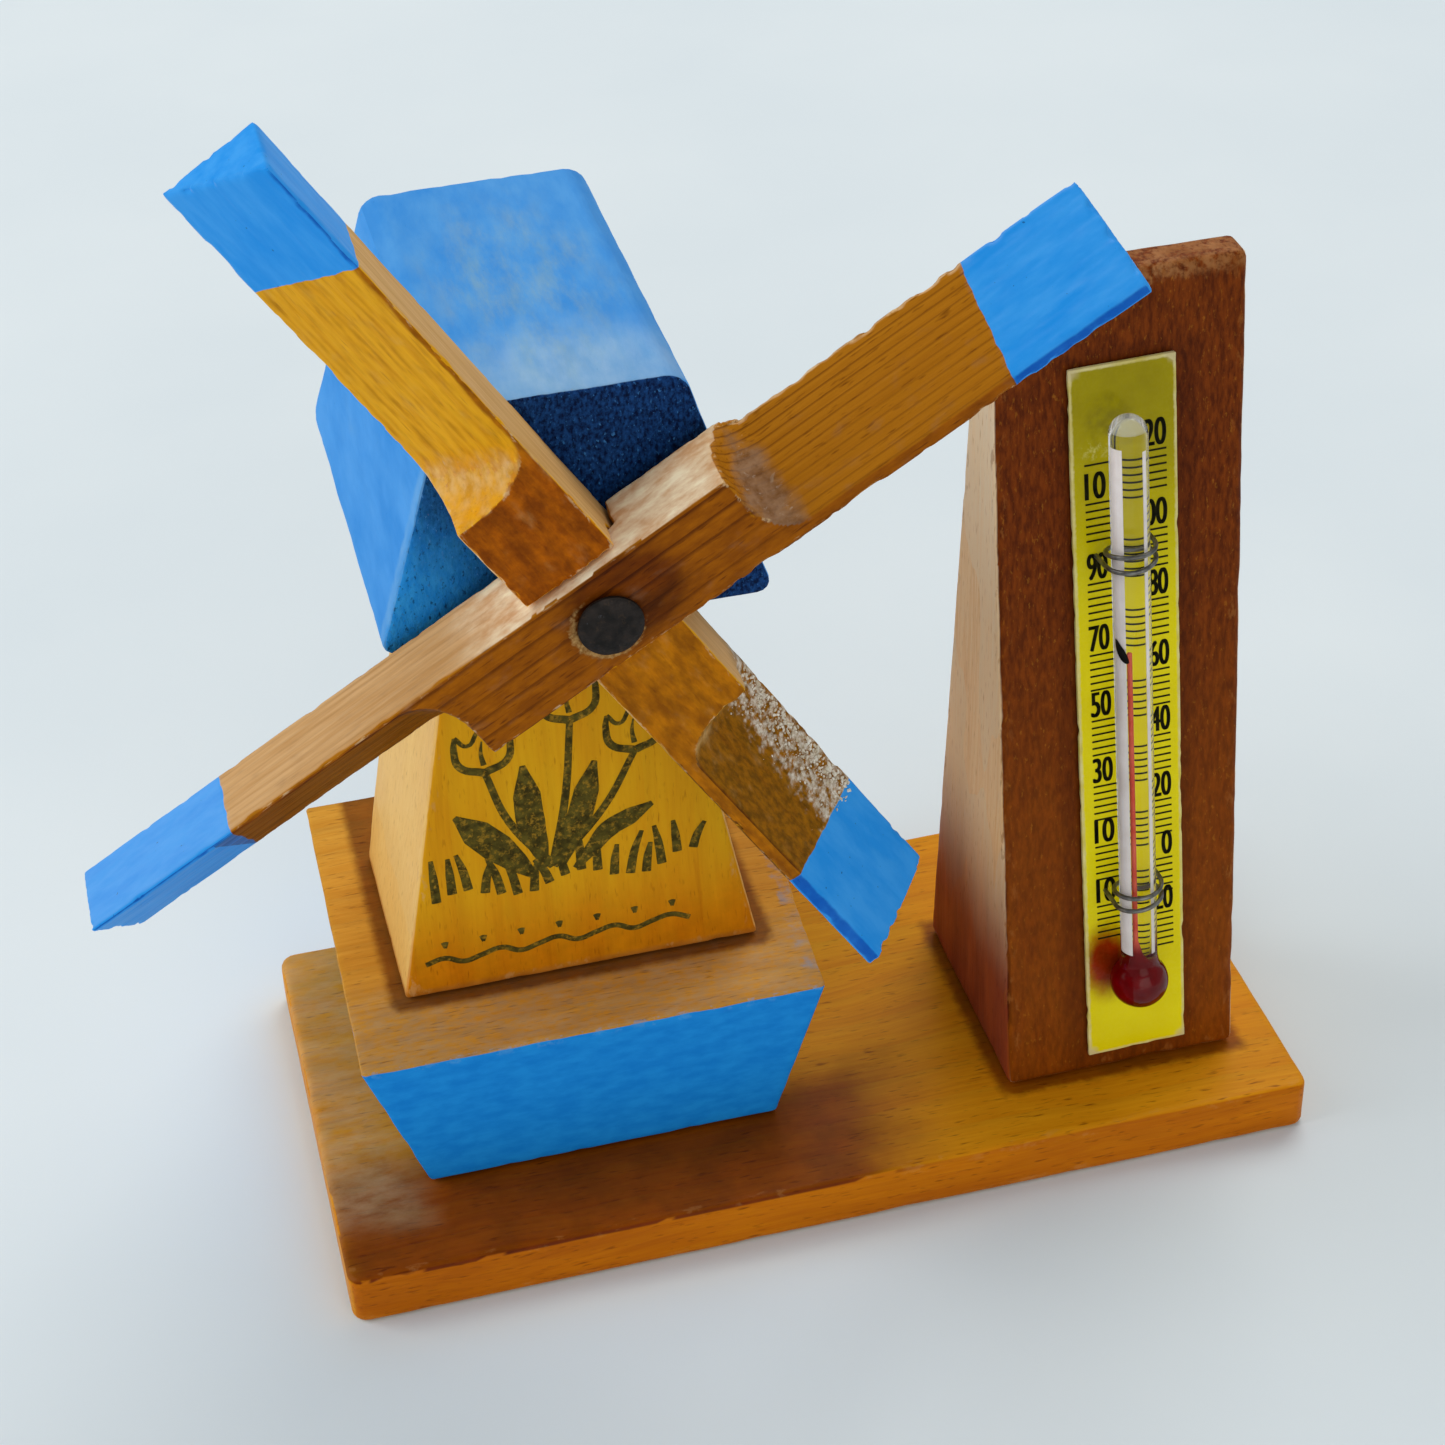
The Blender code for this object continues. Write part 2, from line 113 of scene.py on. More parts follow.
def linear(shade):
    """An sRGB hex colour as linear RGBA."""
    parts = [int(shade[spot:spot + 2], 16) / 255 for spot in (1, 3, 5)]
    return (*[part / 12.92 if part <= 0.04045 else ((part + 0.055) / 1.055) ** 2.4
              for part in parts], 1.0)


def add(tree, kind, inputs=None, stops=None, **settings):
    """Adds one shader node with its settings, then fills or links its inputs."""
    made = tree.nodes.new("ShaderNode" + kind)
    for setting, value in settings.items():
        setattr(made, setting, value)
    for place, value in (inputs or {}).items():
        if isinstance(value, bpy.types.NodeSocket):
            tree.links.new(value, made.inputs[place])
        else:
            made.inputs[place].default_value = value
    for spot, (position, shade) in enumerate(stops or []):
        stop = made.color_ramp.elements[spot] if spot < 2 else made.color_ramp.elements.new(position)
        stop.position = position
        stop.color = shade
    return made


def wood_ground(tree, wood):
    """Pine along its grain: growth rings, fibres, slow patches and short dark pores."""
    spot = add(tree, "TexCoord").outputs["Object"]
    local = add(tree, "Mapping", {"Vector": spot, "Location": wood["place"], "Rotation": wood["turn"]},
                vector_type="TEXTURE").outputs[0]
    # slow wander of the rings over about 50 mm
    sway = add(tree, "TexNoise", {"Vector": local, "Scale": 20.0, "Detail": 2.0}).outputs["Color"]
    bent = add(tree, "VectorMath", {0: sway, 1: (0.0, wood["sway"] * MM, wood["sway"] * MM), 2: local},
               operation="MULTIPLY_ADD").outputs[0]
    drawn = add(tree, "Mapping", {"Vector": bent, "Scale": (0.035, 1.0, 1.0)}).outputs[0]
    flecked = add(tree, "Mapping", {"Vector": local, "Scale": (0.16, 1.0, 1.0)}).outputs[0]
    # the wave repeats every 0.314 m at scale 1, so this gives the ring spacing
    rings = add(tree, "TexWave", {"Vector": drawn, "Scale": 0.314 / (wood["ring"] * MM),
                                  "Distortion": wood.get("wavy", 1.6),
                                  "Detail": 2.0, "Detail Scale": 1.2},
                bands_direction=wood.get("across", "Z"), wave_profile="SAW").outputs["Fac"]
    fibres = add(tree, "TexNoise", {"Vector": drawn, "Scale": 1 / (wood.get("fibre", 0.5) * MM),
                                    "Detail": 4.0, "Roughness": 0.65}).outputs["Fac"]
    patches = add(tree, "TexNoise", {"Vector": flecked, "Scale": 110.0, "Detail": 3.0}).outputs["Fac"]
    pores = add(tree, "TexNoise", {"Vector": flecked, "Scale": 1 / (0.32 * MM), "Detail": 1.0}).outputs["Fac"]
    pored = add(tree, "MapRange", {0: pores, 1: 0.62, 2: 0.86}).outputs[0]
    mixed = add(tree, "Math", {0: rings, 1: wood["ring_strength"]}, operation="MULTIPLY").outputs[0]
    mixed = add(tree, "Math", {0: fibres, 1: 0.75, 2: mixed}, operation="MULTIPLY_ADD").outputs[0]
    mixed = add(tree, "Math", {0: patches, 1: 0.55, 2: mixed}, operation="MULTIPLY_ADD").outputs[0]
    shade = add(tree, "ValToRGB", {0: mixed}, stops=[
        (0.36, linear(wood["shades"][0])), (0.98, linear(wood["shades"][2])),
        (0.66, linear(wood["shades"][1]))]).outputs[0]
    shade = add(tree, "Mix", {0: pored, 6: shade, 7: linear(wood["shades"][3])}, data_type="RGBA").outputs[2]
    # the thin dark line at the end of each year's growth, broken here and there
    late = add(tree, "MapRange", {0: rings, 1: 0.70, 2: 0.95, 4: wood.get("late", 0.2)},
               interpolation_type="SMOOTHSTEP").outputs[0]
    broken = add(tree, "MapRange", {0: patches, 1: 0.32, 2: 0.62, 3: 0.35}).outputs[0]
    late = add(tree, "Math", {0: late, 1: broken}, operation="MULTIPLY").outputs[0]
    shade = add(tree, "Mix", {0: late, 6: shade, 7: linear(wood["shades"][3])}, data_type="RGBA").outputs[2]
    rough = add(tree, "MapRange", {0: patches, 1: 0.3, 2: 0.7, 3: wood["rough"][0], 4: wood["rough"][1]}).outputs[0]
    height = add(tree, "Math", {0: pored, 1: -0.7, 2: fibres}, operation="MULTIPLY_ADD").outputs[0]
    height = add(tree, "Math", {0: rings, 1: 0.5, 2: height}, operation="MULTIPLY_ADD").outputs[0]
    return shade, rough, height, local


def plain_ground(tree, plain):
    """Metal, enamel or print with slow mottling between two shades and a fine grit."""
    spot = add(tree, "TexCoord").outputs["Object"]
    local = add(tree, "Mapping", {"Vector": spot, "Location": plain.get("place", (0, 0, 0)),
                                  "Rotation": plain.get("turn", (0, 0, 0))},
                vector_type="TEXTURE").outputs[0]
    slow = add(tree, "TexNoise", {"Vector": local, "Scale": 1 / (plain["mottle"] * MM), "Detail": 4.0}).outputs["Fac"]
    fine = add(tree, "TexNoise", {"Vector": local, "Scale": 1 / (plain["grit"] * MM), "Detail": 3.0}).outputs["Fac"]
    shade = add(tree, "ValToRGB", {0: slow}, stops=[
        (0.35, linear(plain["shades"][0])), (0.65, linear(plain["shades"][1]))]).outputs[0]
    rough = add(tree, "MapRange", {0: fine, 1: 0.3, 2: 0.7, 3: plain["rough"][0], 4: plain["rough"][1]}).outputs[0]
    return shade, rough, fine, local


def lay_coat(tree, below, coat):
    """One coat over what is below it, where its field of millimetres is positive.

    A coat may be ragged at its border, worn into patches, dragged along the grain,
    or thin enough to tint what is under it.
    """
    shade, rough, height, local = below
    field = add(tree, "Attribute", attribute_name=coat["field"]).outputs["Fac"]
    dragged = add(tree, "Mapping", {"Vector": local, "Scale": coat.get("drag", (1.0, 1.0, 1.0)),
                                    "Location": (coat.get("seed", 0.0), 0.0, 0.0)}).outputs[0]
    torn = add(tree, "TexNoise", {"Vector": dragged, "Scale": 1 / (coat.get("tear", 1.2) * MM),
                                  "Detail": 3.0}).outputs["Fac"]
    torn = add(tree, "Math", {0: torn, 1: 0.5}, operation="SUBTRACT").outputs[0]
    edge = add(tree, "Math", {0: torn, 1: 4 * coat.get("ragged", 0.15), 2: field},
               operation="MULTIPLY_ADD").outputs[0]
    soft = coat.get("soft", 0.08)
    mask = add(tree, "MapRange", {0: edge, 1: -soft, 2: soft}, interpolation_type="SMOOTHSTEP").outputs[0]
    mottle = add(tree, "TexNoise", {"Vector": dragged, "Scale": 1 / (coat.get("mottle", 3.0) * MM),
                                    "Detail": 4.0, "Roughness": 0.6}).outputs["Fac"]
    if "cover" in coat:
        # cover is the share of the coat that is still there, or where it has settled
        spots = add(tree, "TexNoise", {"Vector": dragged, "Scale": 1 / (coat.get("patch", 2.0) * MM),
                                       "Detail": coat.get("patch_detail", 5.0), "Roughness": 0.65}).outputs["Fac"]
        level = 0.5 + 0.32 * (0.5 - coat["cover"]) * 2
        haze = coat.get("haze", 0.05)
        held = add(tree, "MapRange", {0: spots, 1: level - haze, 2: level + haze},
                   interpolation_type="SMOOTHSTEP").outputs[0]
        mask = add(tree, "Math", {0: mask, 1: held}, operation="MULTIPLY").outputs[0]
    strength = add(tree, "Math", {0: mask, 1: coat.get("strength", 1.0)}, operation="MULTIPLY").outputs[0]
    over = add(tree, "ValToRGB", {0: mottle}, stops=[
        (0.36, linear(coat["shades"][0])), (0.64, linear(coat["shades"][1]))]).outputs[0]
    shade = add(tree, "Mix", {0: strength, 6: shade, 7: over}, data_type="RGBA",
                blend_type="MULTIPLY" if coat.get("tint") else "MIX").outputs[2]
    if "rough" in coat:
        rough = add(tree, "Mix", {0: strength, 2: rough, 3: coat["rough"]}).outputs[0]
    if "lift" in coat:
        grit = add(tree, "TexNoise", {"Vector": dragged, "Scale": 1 / (coat.get("grit", 0.35) * MM),
                                      "Detail": 3.0}).outputs["Fac"]
        raised = add(tree, "Math", {0: grit, 1: coat.get("grit_height", 0.6), 2: coat["lift"]},
                     operation="MULTIPLY_ADD").outputs[0]
        height = add(tree, "Mix", {0: strength, 2: height, 3: raised}).outputs[0]
    return shade, rough, height, local


def finish(name, ground, coats=(), relief=0.05, **shader_settings):
    """A material from a ground and its coats; relief is the depth of its texture in mm."""
    material = bpy.data.materials.new(name)
    material.use_nodes = True
    tree = material.node_tree
    shader = tree.nodes["Principled BSDF"]
    layers = wood_ground(tree, ground) if "ring" in ground else plain_ground(tree, ground)
    for coat in coats:
        layers = lay_coat(tree, layers, coat)
    shade, rough, height, local = layers
    bump = add(tree, "Bump", {"Height": height, "Distance": relief * MM, "Strength": 0.8})
    tree.links.new(shade, shader.inputs["Base Color"])
    tree.links.new(rough, shader.inputs["Roughness"])
    tree.links.new(bump.outputs[0], shader.inputs["Normal"])
    if "metallic" not in shader_settings:
        shader.inputs["Specular IOR Level"].default_value = SHEEN
    for setting, value in shader_settings.items():
        shader.inputs[setting.replace("_", " ").title()].default_value = value
    return material


# ---------------------------------------------------------------- shaping

def settle(name, bm, material, body, stands_for=(), smooth=35):
    """Closes a bmesh into a finished piece that rides on a body."""
    mesh = bpy.data.meshes.new(name)
    bm.to_mesh(mesh)
    bm.free()
    return place_mesh(name, mesh, material, body, stands_for, smooth)


def place_mesh(name, mesh, material, body, stands_for=(), smooth=35):
    piece = bpy.data.objects.new(name, mesh)
    bpy.context.scene.collection.objects.link(piece)
    mesh.materials.clear()
    mesh.materials.append(material)
    mesh.shade_smooth()
    mesh.set_sharp_from_angle(angle=math.radians(smooth))
    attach(piece, body)
    if stands_for:
        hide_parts(*stands_for)
    return piece


def grid_cuts(bm, spacing):
    """Slices a solid into cells of about the given size, so that it can be worn."""
    for axis in range(3):
        direction = Vector([1.0 if spot == axis else 0.0 for spot in range(3)])
        places = [vert.co[axis] for vert in bm.verts]
        low, high = min(places), max(places)
        count = max(1, round((high - low) / spacing))
        for step in range(1, count):
            at = direction * (low + (high - low) * step / count)
            bmesh.ops.bisect_plane(bm, geom=bm.verts[:] + bm.edges[:] + bm.faces[:], dist=1e-7,
                                   plane_co=at, plane_no=direction)


def wear(bm, edges, seed, dent=0.05, nick=0.25, nick_size=2.2, reach=1.0):
    """Dents the faces a little and nicks the edges; keeps each vertex's distance to an edge.

    edges are pairs of points; dent and nick are depths and reach is how far in from an
    edge the nicks go, all in mm.
    """
    near = bm.verts.layers.float.new("edge")
    bm.normal_update()
    shift = Vector((seed * 3.7, seed * 1.3, seed * 2.1))
    moved = []
    for vert in bm.verts:
        distance = 99.0
        for start, end in edges:
            touch, share = geometry.intersect_point_line(vert.co, start, end)
            touch = start if share < 0 else end if share > 1 else touch
            distance = min(distance, (vert.co - touch).length / MM)
        vert[near] = reach - distance
        ripple = noise.noise(vert.co / (6 * MM) + shift) + 0.5 * noise.noise(vert.co / (2 * MM) + shift)
        depth = dent * ripple
        closeness = max(0.0, 1 - distance / reach)
        if closeness:
            chip = noise.noise(vert.co / (nick_size * MM) + shift * 2)
            depth -= nick * closeness * max(0.0, chip - 0.12) * 2.2
        moved.append((vert, vert.normal * depth * MM))
    for vert, move in moved:
        vert.co += move


def keep_fields(bm, fields):
    """Stores a field of millimetres for each coat, from a vertex's place (mm) and normal."""
    bm.normal_update()
    for name, field in fields.items():
        layer = bm.verts.layers.float.new(name)
        for vert in bm.verts:
            vert[layer] = field(vert.co / MM, vert.normal)


def block(corner, rounding, spacing, seed, rounded_pairs=None, **knocks):
    """A sawn block from its eight corners, its edges rounded, sliced and worn."""
    bm = bmesh.new()
    bmesh.ops.create_cube(bm, size=2)
    for vert in bm.verts:
        vert.co = Vector(corner(*[round(part) for part in vert.co]))
    edges = [(edge.verts[0].co.copy(), edge.verts[1].co.copy()) for edge in bm.edges]
    if rounded_pairs:
        wide, width = rounded_pairs
        chosen = [edge for edge in bm.edges
                  if abs((edge.verts[1].co - edge.verts[0].co).normalized()[wide]) > 0.9]
        bmesh.ops.bevel(bm, geom=chosen, affect="EDGES", offset=width, segments=4, profile=0.5, material=-1)
        sharp = [edge for edge in bm.edges if edge.calc_face_angle() > math.radians(50)]
    else:
        sharp = bm.edges[:]
    bmesh.ops.bevel(bm, geom=sharp, affect="EDGES", offset=rounding, segments=3, profile=0.5, material=-1)
    grid_cuts(bm, spacing)
    bmesh.ops.recalc_face_normals(bm, faces=bm.faces)
    wear(bm, edges, seed, **knocks)
    return bm


def outline_block(points, travel, rounding, spacing, seed, corner=0.0, **knocks):
    """A sawn board from a flat outline, its corners rounded before it is given its thickness."""
    bm = bmesh.new()
    face = bm.faces.new([bm.verts.new(point) for point in points])
    if corner:
        bmesh.ops.bevel(bm, geom=list(face.verts), affect="VERTICES", offset=corner,
                        segments=5, profile=0.5, material=-1)
    edges = [(edge.verts[0].co.copy(), edge.verts[1].co.copy()) for edge in bm.edges]
    raised = bmesh.ops.extrude_face_region(bm, geom=list(bm.faces))
    moved = [part for part in raised["geom"] if isinstance(part, bmesh.types.BMVert)]
    bmesh.ops.translate(bm, verts=moved, vec=travel)
    edges += [(start + Vector(travel), end + Vector(travel)) for start, end in edges]
    bmesh.ops.recalc_face_normals(bm, faces=bm.faces)
    sharp = [edge for edge in bm.edges if edge.calc_face_angle() > math.radians(50)]
    bmesh.ops.bevel(bm, geom=sharp, affect="EDGES", offset=rounding, segments=3, profile=0.5, material=-1)
    grid_cuts(bm, spacing)
    bmesh.ops.recalc_face_normals(bm, faces=bm.faces)
    wear(bm, edges, seed, **knocks)
    return bm


def drill(bm, holes):
    """Drills blind holes (start, end, radius) into a bmesh and returns the drilled one."""
    mesh = bpy.data.meshes.new("blank")
    bm.to_mesh(mesh)
    bm.free()
    blank = bpy.data.objects.new("blank", mesh)
    bpy.context.scene.collection.objects.link(blank)
    drills = []
    for start, end, radius in holes:
        along = Vector(end) - Vector(start)
        place = (Matrix.Translation((Vector(start) + Vector(end)) / 2)
                 @ along.to_track_quat("Z", "Y").to_matrix().to_4x4())
        bit = bmesh.new()
        bmesh.ops.create_cone(bit, cap_ends=True, segments=24, radius1=radius, radius2=radius,
                              depth=along.length, matrix=place)
        drills.append(cutter_for(blank, bit))
    return shaped(blank, drills)


def cutter_for(blank, bm):
    """Puts a cutting shape in place as a Boolean on the blank."""
    bmesh.ops.recalc_face_normals(bm, faces=bm.faces)
    mesh = bpy.data.meshes.new("cutter")
    bm.to_mesh(mesh)
    bm.free()
    cutter = bpy.data.objects.new("cutter", mesh)
    bpy.context.scene.collection.objects.link(cutter)
    boolean = blank.modifiers.new("cut", "BOOLEAN")
    boolean.operation = "DIFFERENCE"
    boolean.solver = "EXACT"
    boolean.object = cutter
    return cutter


def shaped(blank, cutters):
    """Applies a blank's modifiers, clears it and its cutters away, and returns the bmesh."""
    graph = bpy.context.evaluated_depsgraph_get()
    mesh = bpy.data.meshes.new_from_object(blank.evaluated_get(graph))
    bm = bmesh.new()
    bm.from_mesh(mesh)
    for spare in [*cutters, blank]:
        bpy.data.objects.remove(spare, do_unlink=True)
    return bm


def turned(profile, steps, place=None):
    """A closed body spun about Z from (radius, height) points in mm that start and end on the axis."""
    bm = bmesh.new()
    verts = [bm.verts.new((radius, 0, height)) for radius, height in profile]
    edges = [bm.edges.new(pair) for pair in zip(verts, verts[1:])]
    bmesh.ops.spin(bm, geom=verts + edges, cent=(0, 0, 0), axis=(0, 0, 1),
                   angle=2 * math.pi, steps=steps, use_merge=True)
    bmesh.ops.remove_doubles(bm, verts=bm.verts, dist=1e-5)
    bmesh.ops.recalc_face_normals(bm, faces=bm.faces)
    if place is not None:
        bmesh.ops.transform(bm, matrix=place @ Matrix.Scale(MM, 4), verts=bm.verts)
    return bm


def arc(radius, start, end, steps, middle=0.0):
    """(radius, height) points along an arc centred on the axis, angles from the equator."""
    turns = [start + (end - start) * step / steps for step in range(steps + 1)]
    return [(radius * math.cos(turn), middle + radius * math.sin(turn)) for turn in turns]


# ---------------------------------------------------------------- base, plinth, tower, cap

def facing(normal, direction, start=0.75):
    """Positive in mm where a face looks along a direction."""
    return (normal.dot(Vector(direction)) - start) * 4


FRONT = (0, -1, 0)
LEFT = (-1, 0, 0)
UP = (0, 0, 1)

EDGE_RUB = dict(field="edge", shades=("#e0b070", "#c98f4a"), tear=0.9, ragged=0.5, soft=0.25,
                cover=0.35, patch=1.6, strength=0.55, drag=(0.5, 1, 1))


def build_base():
    low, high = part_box("base_board")
    points = [(low.x, low.y, low.z), (high.x, low.y, low.z), (high.x, high.y, low.z), (low.x, high.y, low.z)]
    bm = outline_block(points, (0, 0, high.z - low.z), 0.7 * MM, 1.3 * MM, 1, corner=1.8 * MM,
                       dent=0.04, nick=0.14, nick_size=3.5)
    holes = []
    for name in sorted(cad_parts):
        if name.startswith("brad"):
            start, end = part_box(name)
            middle = (start + end) / 2
            holes.append(((middle.x, middle.y, low.z - MM), (middle.x, middle.y, start.z + 0.9 * MM), 1.5 * MM))
    bm = drill(bm, holes)
    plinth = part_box("plinth_block")
    keep_fields(bm, {
        "front": lambda p, n: facing(n, FRONT, 0.6),
        "dust": lambda p, n: min(-48 - p.x, p.y + 21) if n.z > 0.5 else -9,
        # pooled lacquer and a painted shadow on the board in front of the plinth
        "lacquer_pool_and_painted_shadow": lambda p, n: min(p.x + 59.5, (8 - p.x) * 0.6, -11 - p.y, 7) if n.z > 0.5 else -9,
        "post_pool": lambda p, n: min(p.x - 21.8, 52.4 - p.x, p.y + 21.2, 12 - p.y) if n.z > 0.5 else -5,
        "under": lambda p, n: facing(n, (0, 0, -1), 0.5),
    })
    pine = dict(ring=5.4, late=0.14, ring_strength=0.16, sway=7.0, place=(0.0, 0.0, 0.0), turn=(0.0, 0.0, 0.0),
                shades=("#bc6a06", "#d88708", "#e69c14", "#8c4c04"), rough=(0.36, 0.5), across="Y")
    # amber lacquer over pine: warm, half glossy, darker where it pooled at the blocks; in front of the plinth that
    # darkening is also a painted shadow
    material = finish("amber lacquered pine board", pine, [
        dict(field="front", shades=("#dcbc40", "#f1d750"), tint=True, soft=0.5, mottle=6.0, drag=(0.2, 1, 1)),
        # darker in front of the plinth: pooled lacquer and a painted shadow
        dict(field="lacquer_pool_and_painted_shadow", shades=("#7c4e14", "#966630"), tint=True, soft=5.0, ragged=1.2, tear=6.0,
             strength=0.9, mottle=5.0),
        dict(field="post_pool", shades=("#7a4a20", "#9a6836"), tint=True, soft=0.8, ragged=0.3, strength=0.8),
        dict(field="dust", shades=("#b89c70", "#d6b488"), soft=4.0, ragged=1.6, tear=5.0, cover=0.6, patch=1.8,
             haze=0.3, strength=0.5, rough=0.75, drag=(0.5, 1, 1)),
        dict(EDGE_RUB, strength=0.14),
        dict(field="under", shades=("#c9a06a", "#dcb988"), strength=0.6, soft=0.3, rough=0.7),
    ], relief=0.03, coat_weight=0.03, coat_roughness=0.3)
    settle("base_board_worn", bm, material, "stand", ["base_board"])


def build_plinth():
    low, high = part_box("plinth_block")

    def corner(x, y, z):
        half = (PLINTH_TOP if z > 0 else PLINTH_FOOT) / 2
        skew = (PLINTH_SKEW[0] if x < 0 else PLINTH_SKEW[1]) if y > 0 else 0
        return PLINTH_MIDDLE + x * half + skew, high.y if y > 0 else low.y, high.z if z > 0 else low.z

    bm = block(corner, 0.55 * MM, 1.2 * MM, 2, dent=0.05, nick=0.16, nick_size=3.0, reach=1.1)
    top = high.z / MM
    keep_fields(bm, {
        "paint": lambda p, n: min((0.62 - n.z) * 4, (top - 0.35 - p.z) * 2) if n.z > -0.9 else -4,
        "front": lambda p, n: facing(n, FRONT),
        "dust": lambda p, n: 12 - abs(p.y + 14) * 1.2 if n.z > 0.5 else -5,
        "smear": lambda p, n: 1.9 - abs(p.x - (1.9 + (p.y + 16) * 0.048)) if n.z > 0.5 else -5,
        "rim": lambda p, n: 0.6 - abs(top - 0.3 - p.z) if n.y < -0.5 else -5,
        "shadow_pool": lambda p, n: (1.6 - math.hypot(max(0, abs(p.x + 24.2) - 20.9), max(0, -5.6 - p.y)))
        if n.z > 0.5 else -5,
    })
    pine = dict(ring=4.6, ring_strength=0.18, sway=6.0, place=(0.0, 0.0, 0.004), turn=(0.0, 0.0, 0.0),
                shades=("#b47420", "#cc8c2c", "#dca03c", "#84521a"), rough=(0.4, 0.55), across="Y")
    # brushed blue house paint on its sides, thin lacquer and dust on its top
    material = finish("blue brushed paint and lacquered pine", pine, [
        dict(field="dust", shades=("#97836a", "#b5a184"), soft=6.0, ragged=1.0, tear=4.0, cover=0.55, patch=0.8,
             haze=0.2, strength=0.5, rough=0.8, drag=(0.5, 1, 1)),
        dict(field="shadow_pool", shades=("#7a5228", "#96683a"), tint=True, soft=0.7, ragged=0.2, strength=0.8),
        dict(field="paint", shades=("#1488e4", "#2098ee"), ragged=0.12, tear=0.8, soft=0.12, mottle=1.1, rough=0.5,
             drag=(0.35, 1, 1), lift=0.35, grit=0.5, grit_height=0.3),
        dict(field="smear", shades=("#4f8fc4", "#6c9cc4"), soft=0.4, ragged=0.5, cover=0.36, patch=2.4, haze=0.14,
             strength=0.45, rough=0.5),
        dict(field="rim", shades=("#5aa4e2", "#7ab8ea"), soft=0.3, ragged=0.2, cover=0.4, patch=1.6, strength=0.35),
    ], relief=0.05)
    settle("plinth_block_painted", bm, material, "stand", ["plinth_block"])


def build_tower():
    low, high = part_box("tower_block")
    middle = (low.x + high.x) / 2
    foot = (high.x - low.x) / 2

    def corner(x, y, z):
        half = TOWER_TOP / 2 if z > 0 else foot
        return middle + x * half, high.y if y > 0 else low.y, high.z if z > 0 else low.z

    bm = block(corner, 0.5 * MM, 1.2 * MM, 3, dent=0.04, nick=0.13, nick_size=3.0)
    bottom = low.z / MM
    keep_fields(bm, {
        "front": lambda p, n: facing(n, FRONT),
        "foot_line": lambda p, n: 0.9 - (p.z - bottom),
        # painted shade toward the foot of the printed face
        "painted_foot_shade": lambda p, n: 9 - (p.z - bottom) if n.y < -0.5 else -5,
        "side": lambda p, n: facing(n, (-0.98, 0, 0.18), 0.7),
    })
    pine = dict(ring=5.5, ring_strength=0.22, sway=6.0, place=(middle, low.y, 0.0), turn=(0.0, -math.pi / 2, 0.0),
                shades=("#d8a050", "#eab864", "#f2c678", "#bc8436"), rough=(0.4, 0.52), across="Z")
    # clear lacquer on pale pine, deeper amber on the printed face
    material = finish("clear lacquered pale pine", pine, [
        dict(field="front", shades=("#f4d632", "#f8e63c"), tint=True, soft=0.4, mottle=9.0, drag=(0.3, 1, 1)),
        # painted shade: the printed face darker and redder toward its foot
        dict(field="painted_foot_shade", shades=("#d08a44", "#f0b070"), tint=True, soft=7.0, ragged=1.0, tear=6.0, strength=0.6),
        dict(field="foot_line", shades=("#b0641c", "#c88030"), soft=0.4, ragged=0.15, strength=0.75),
        EDGE_RUB,
    ], relief=0.02, coat_weight=0.02, coat_roughness=0.3)
    settle("tower_block_varnished", bm, material, "stand", ["tower_block"])


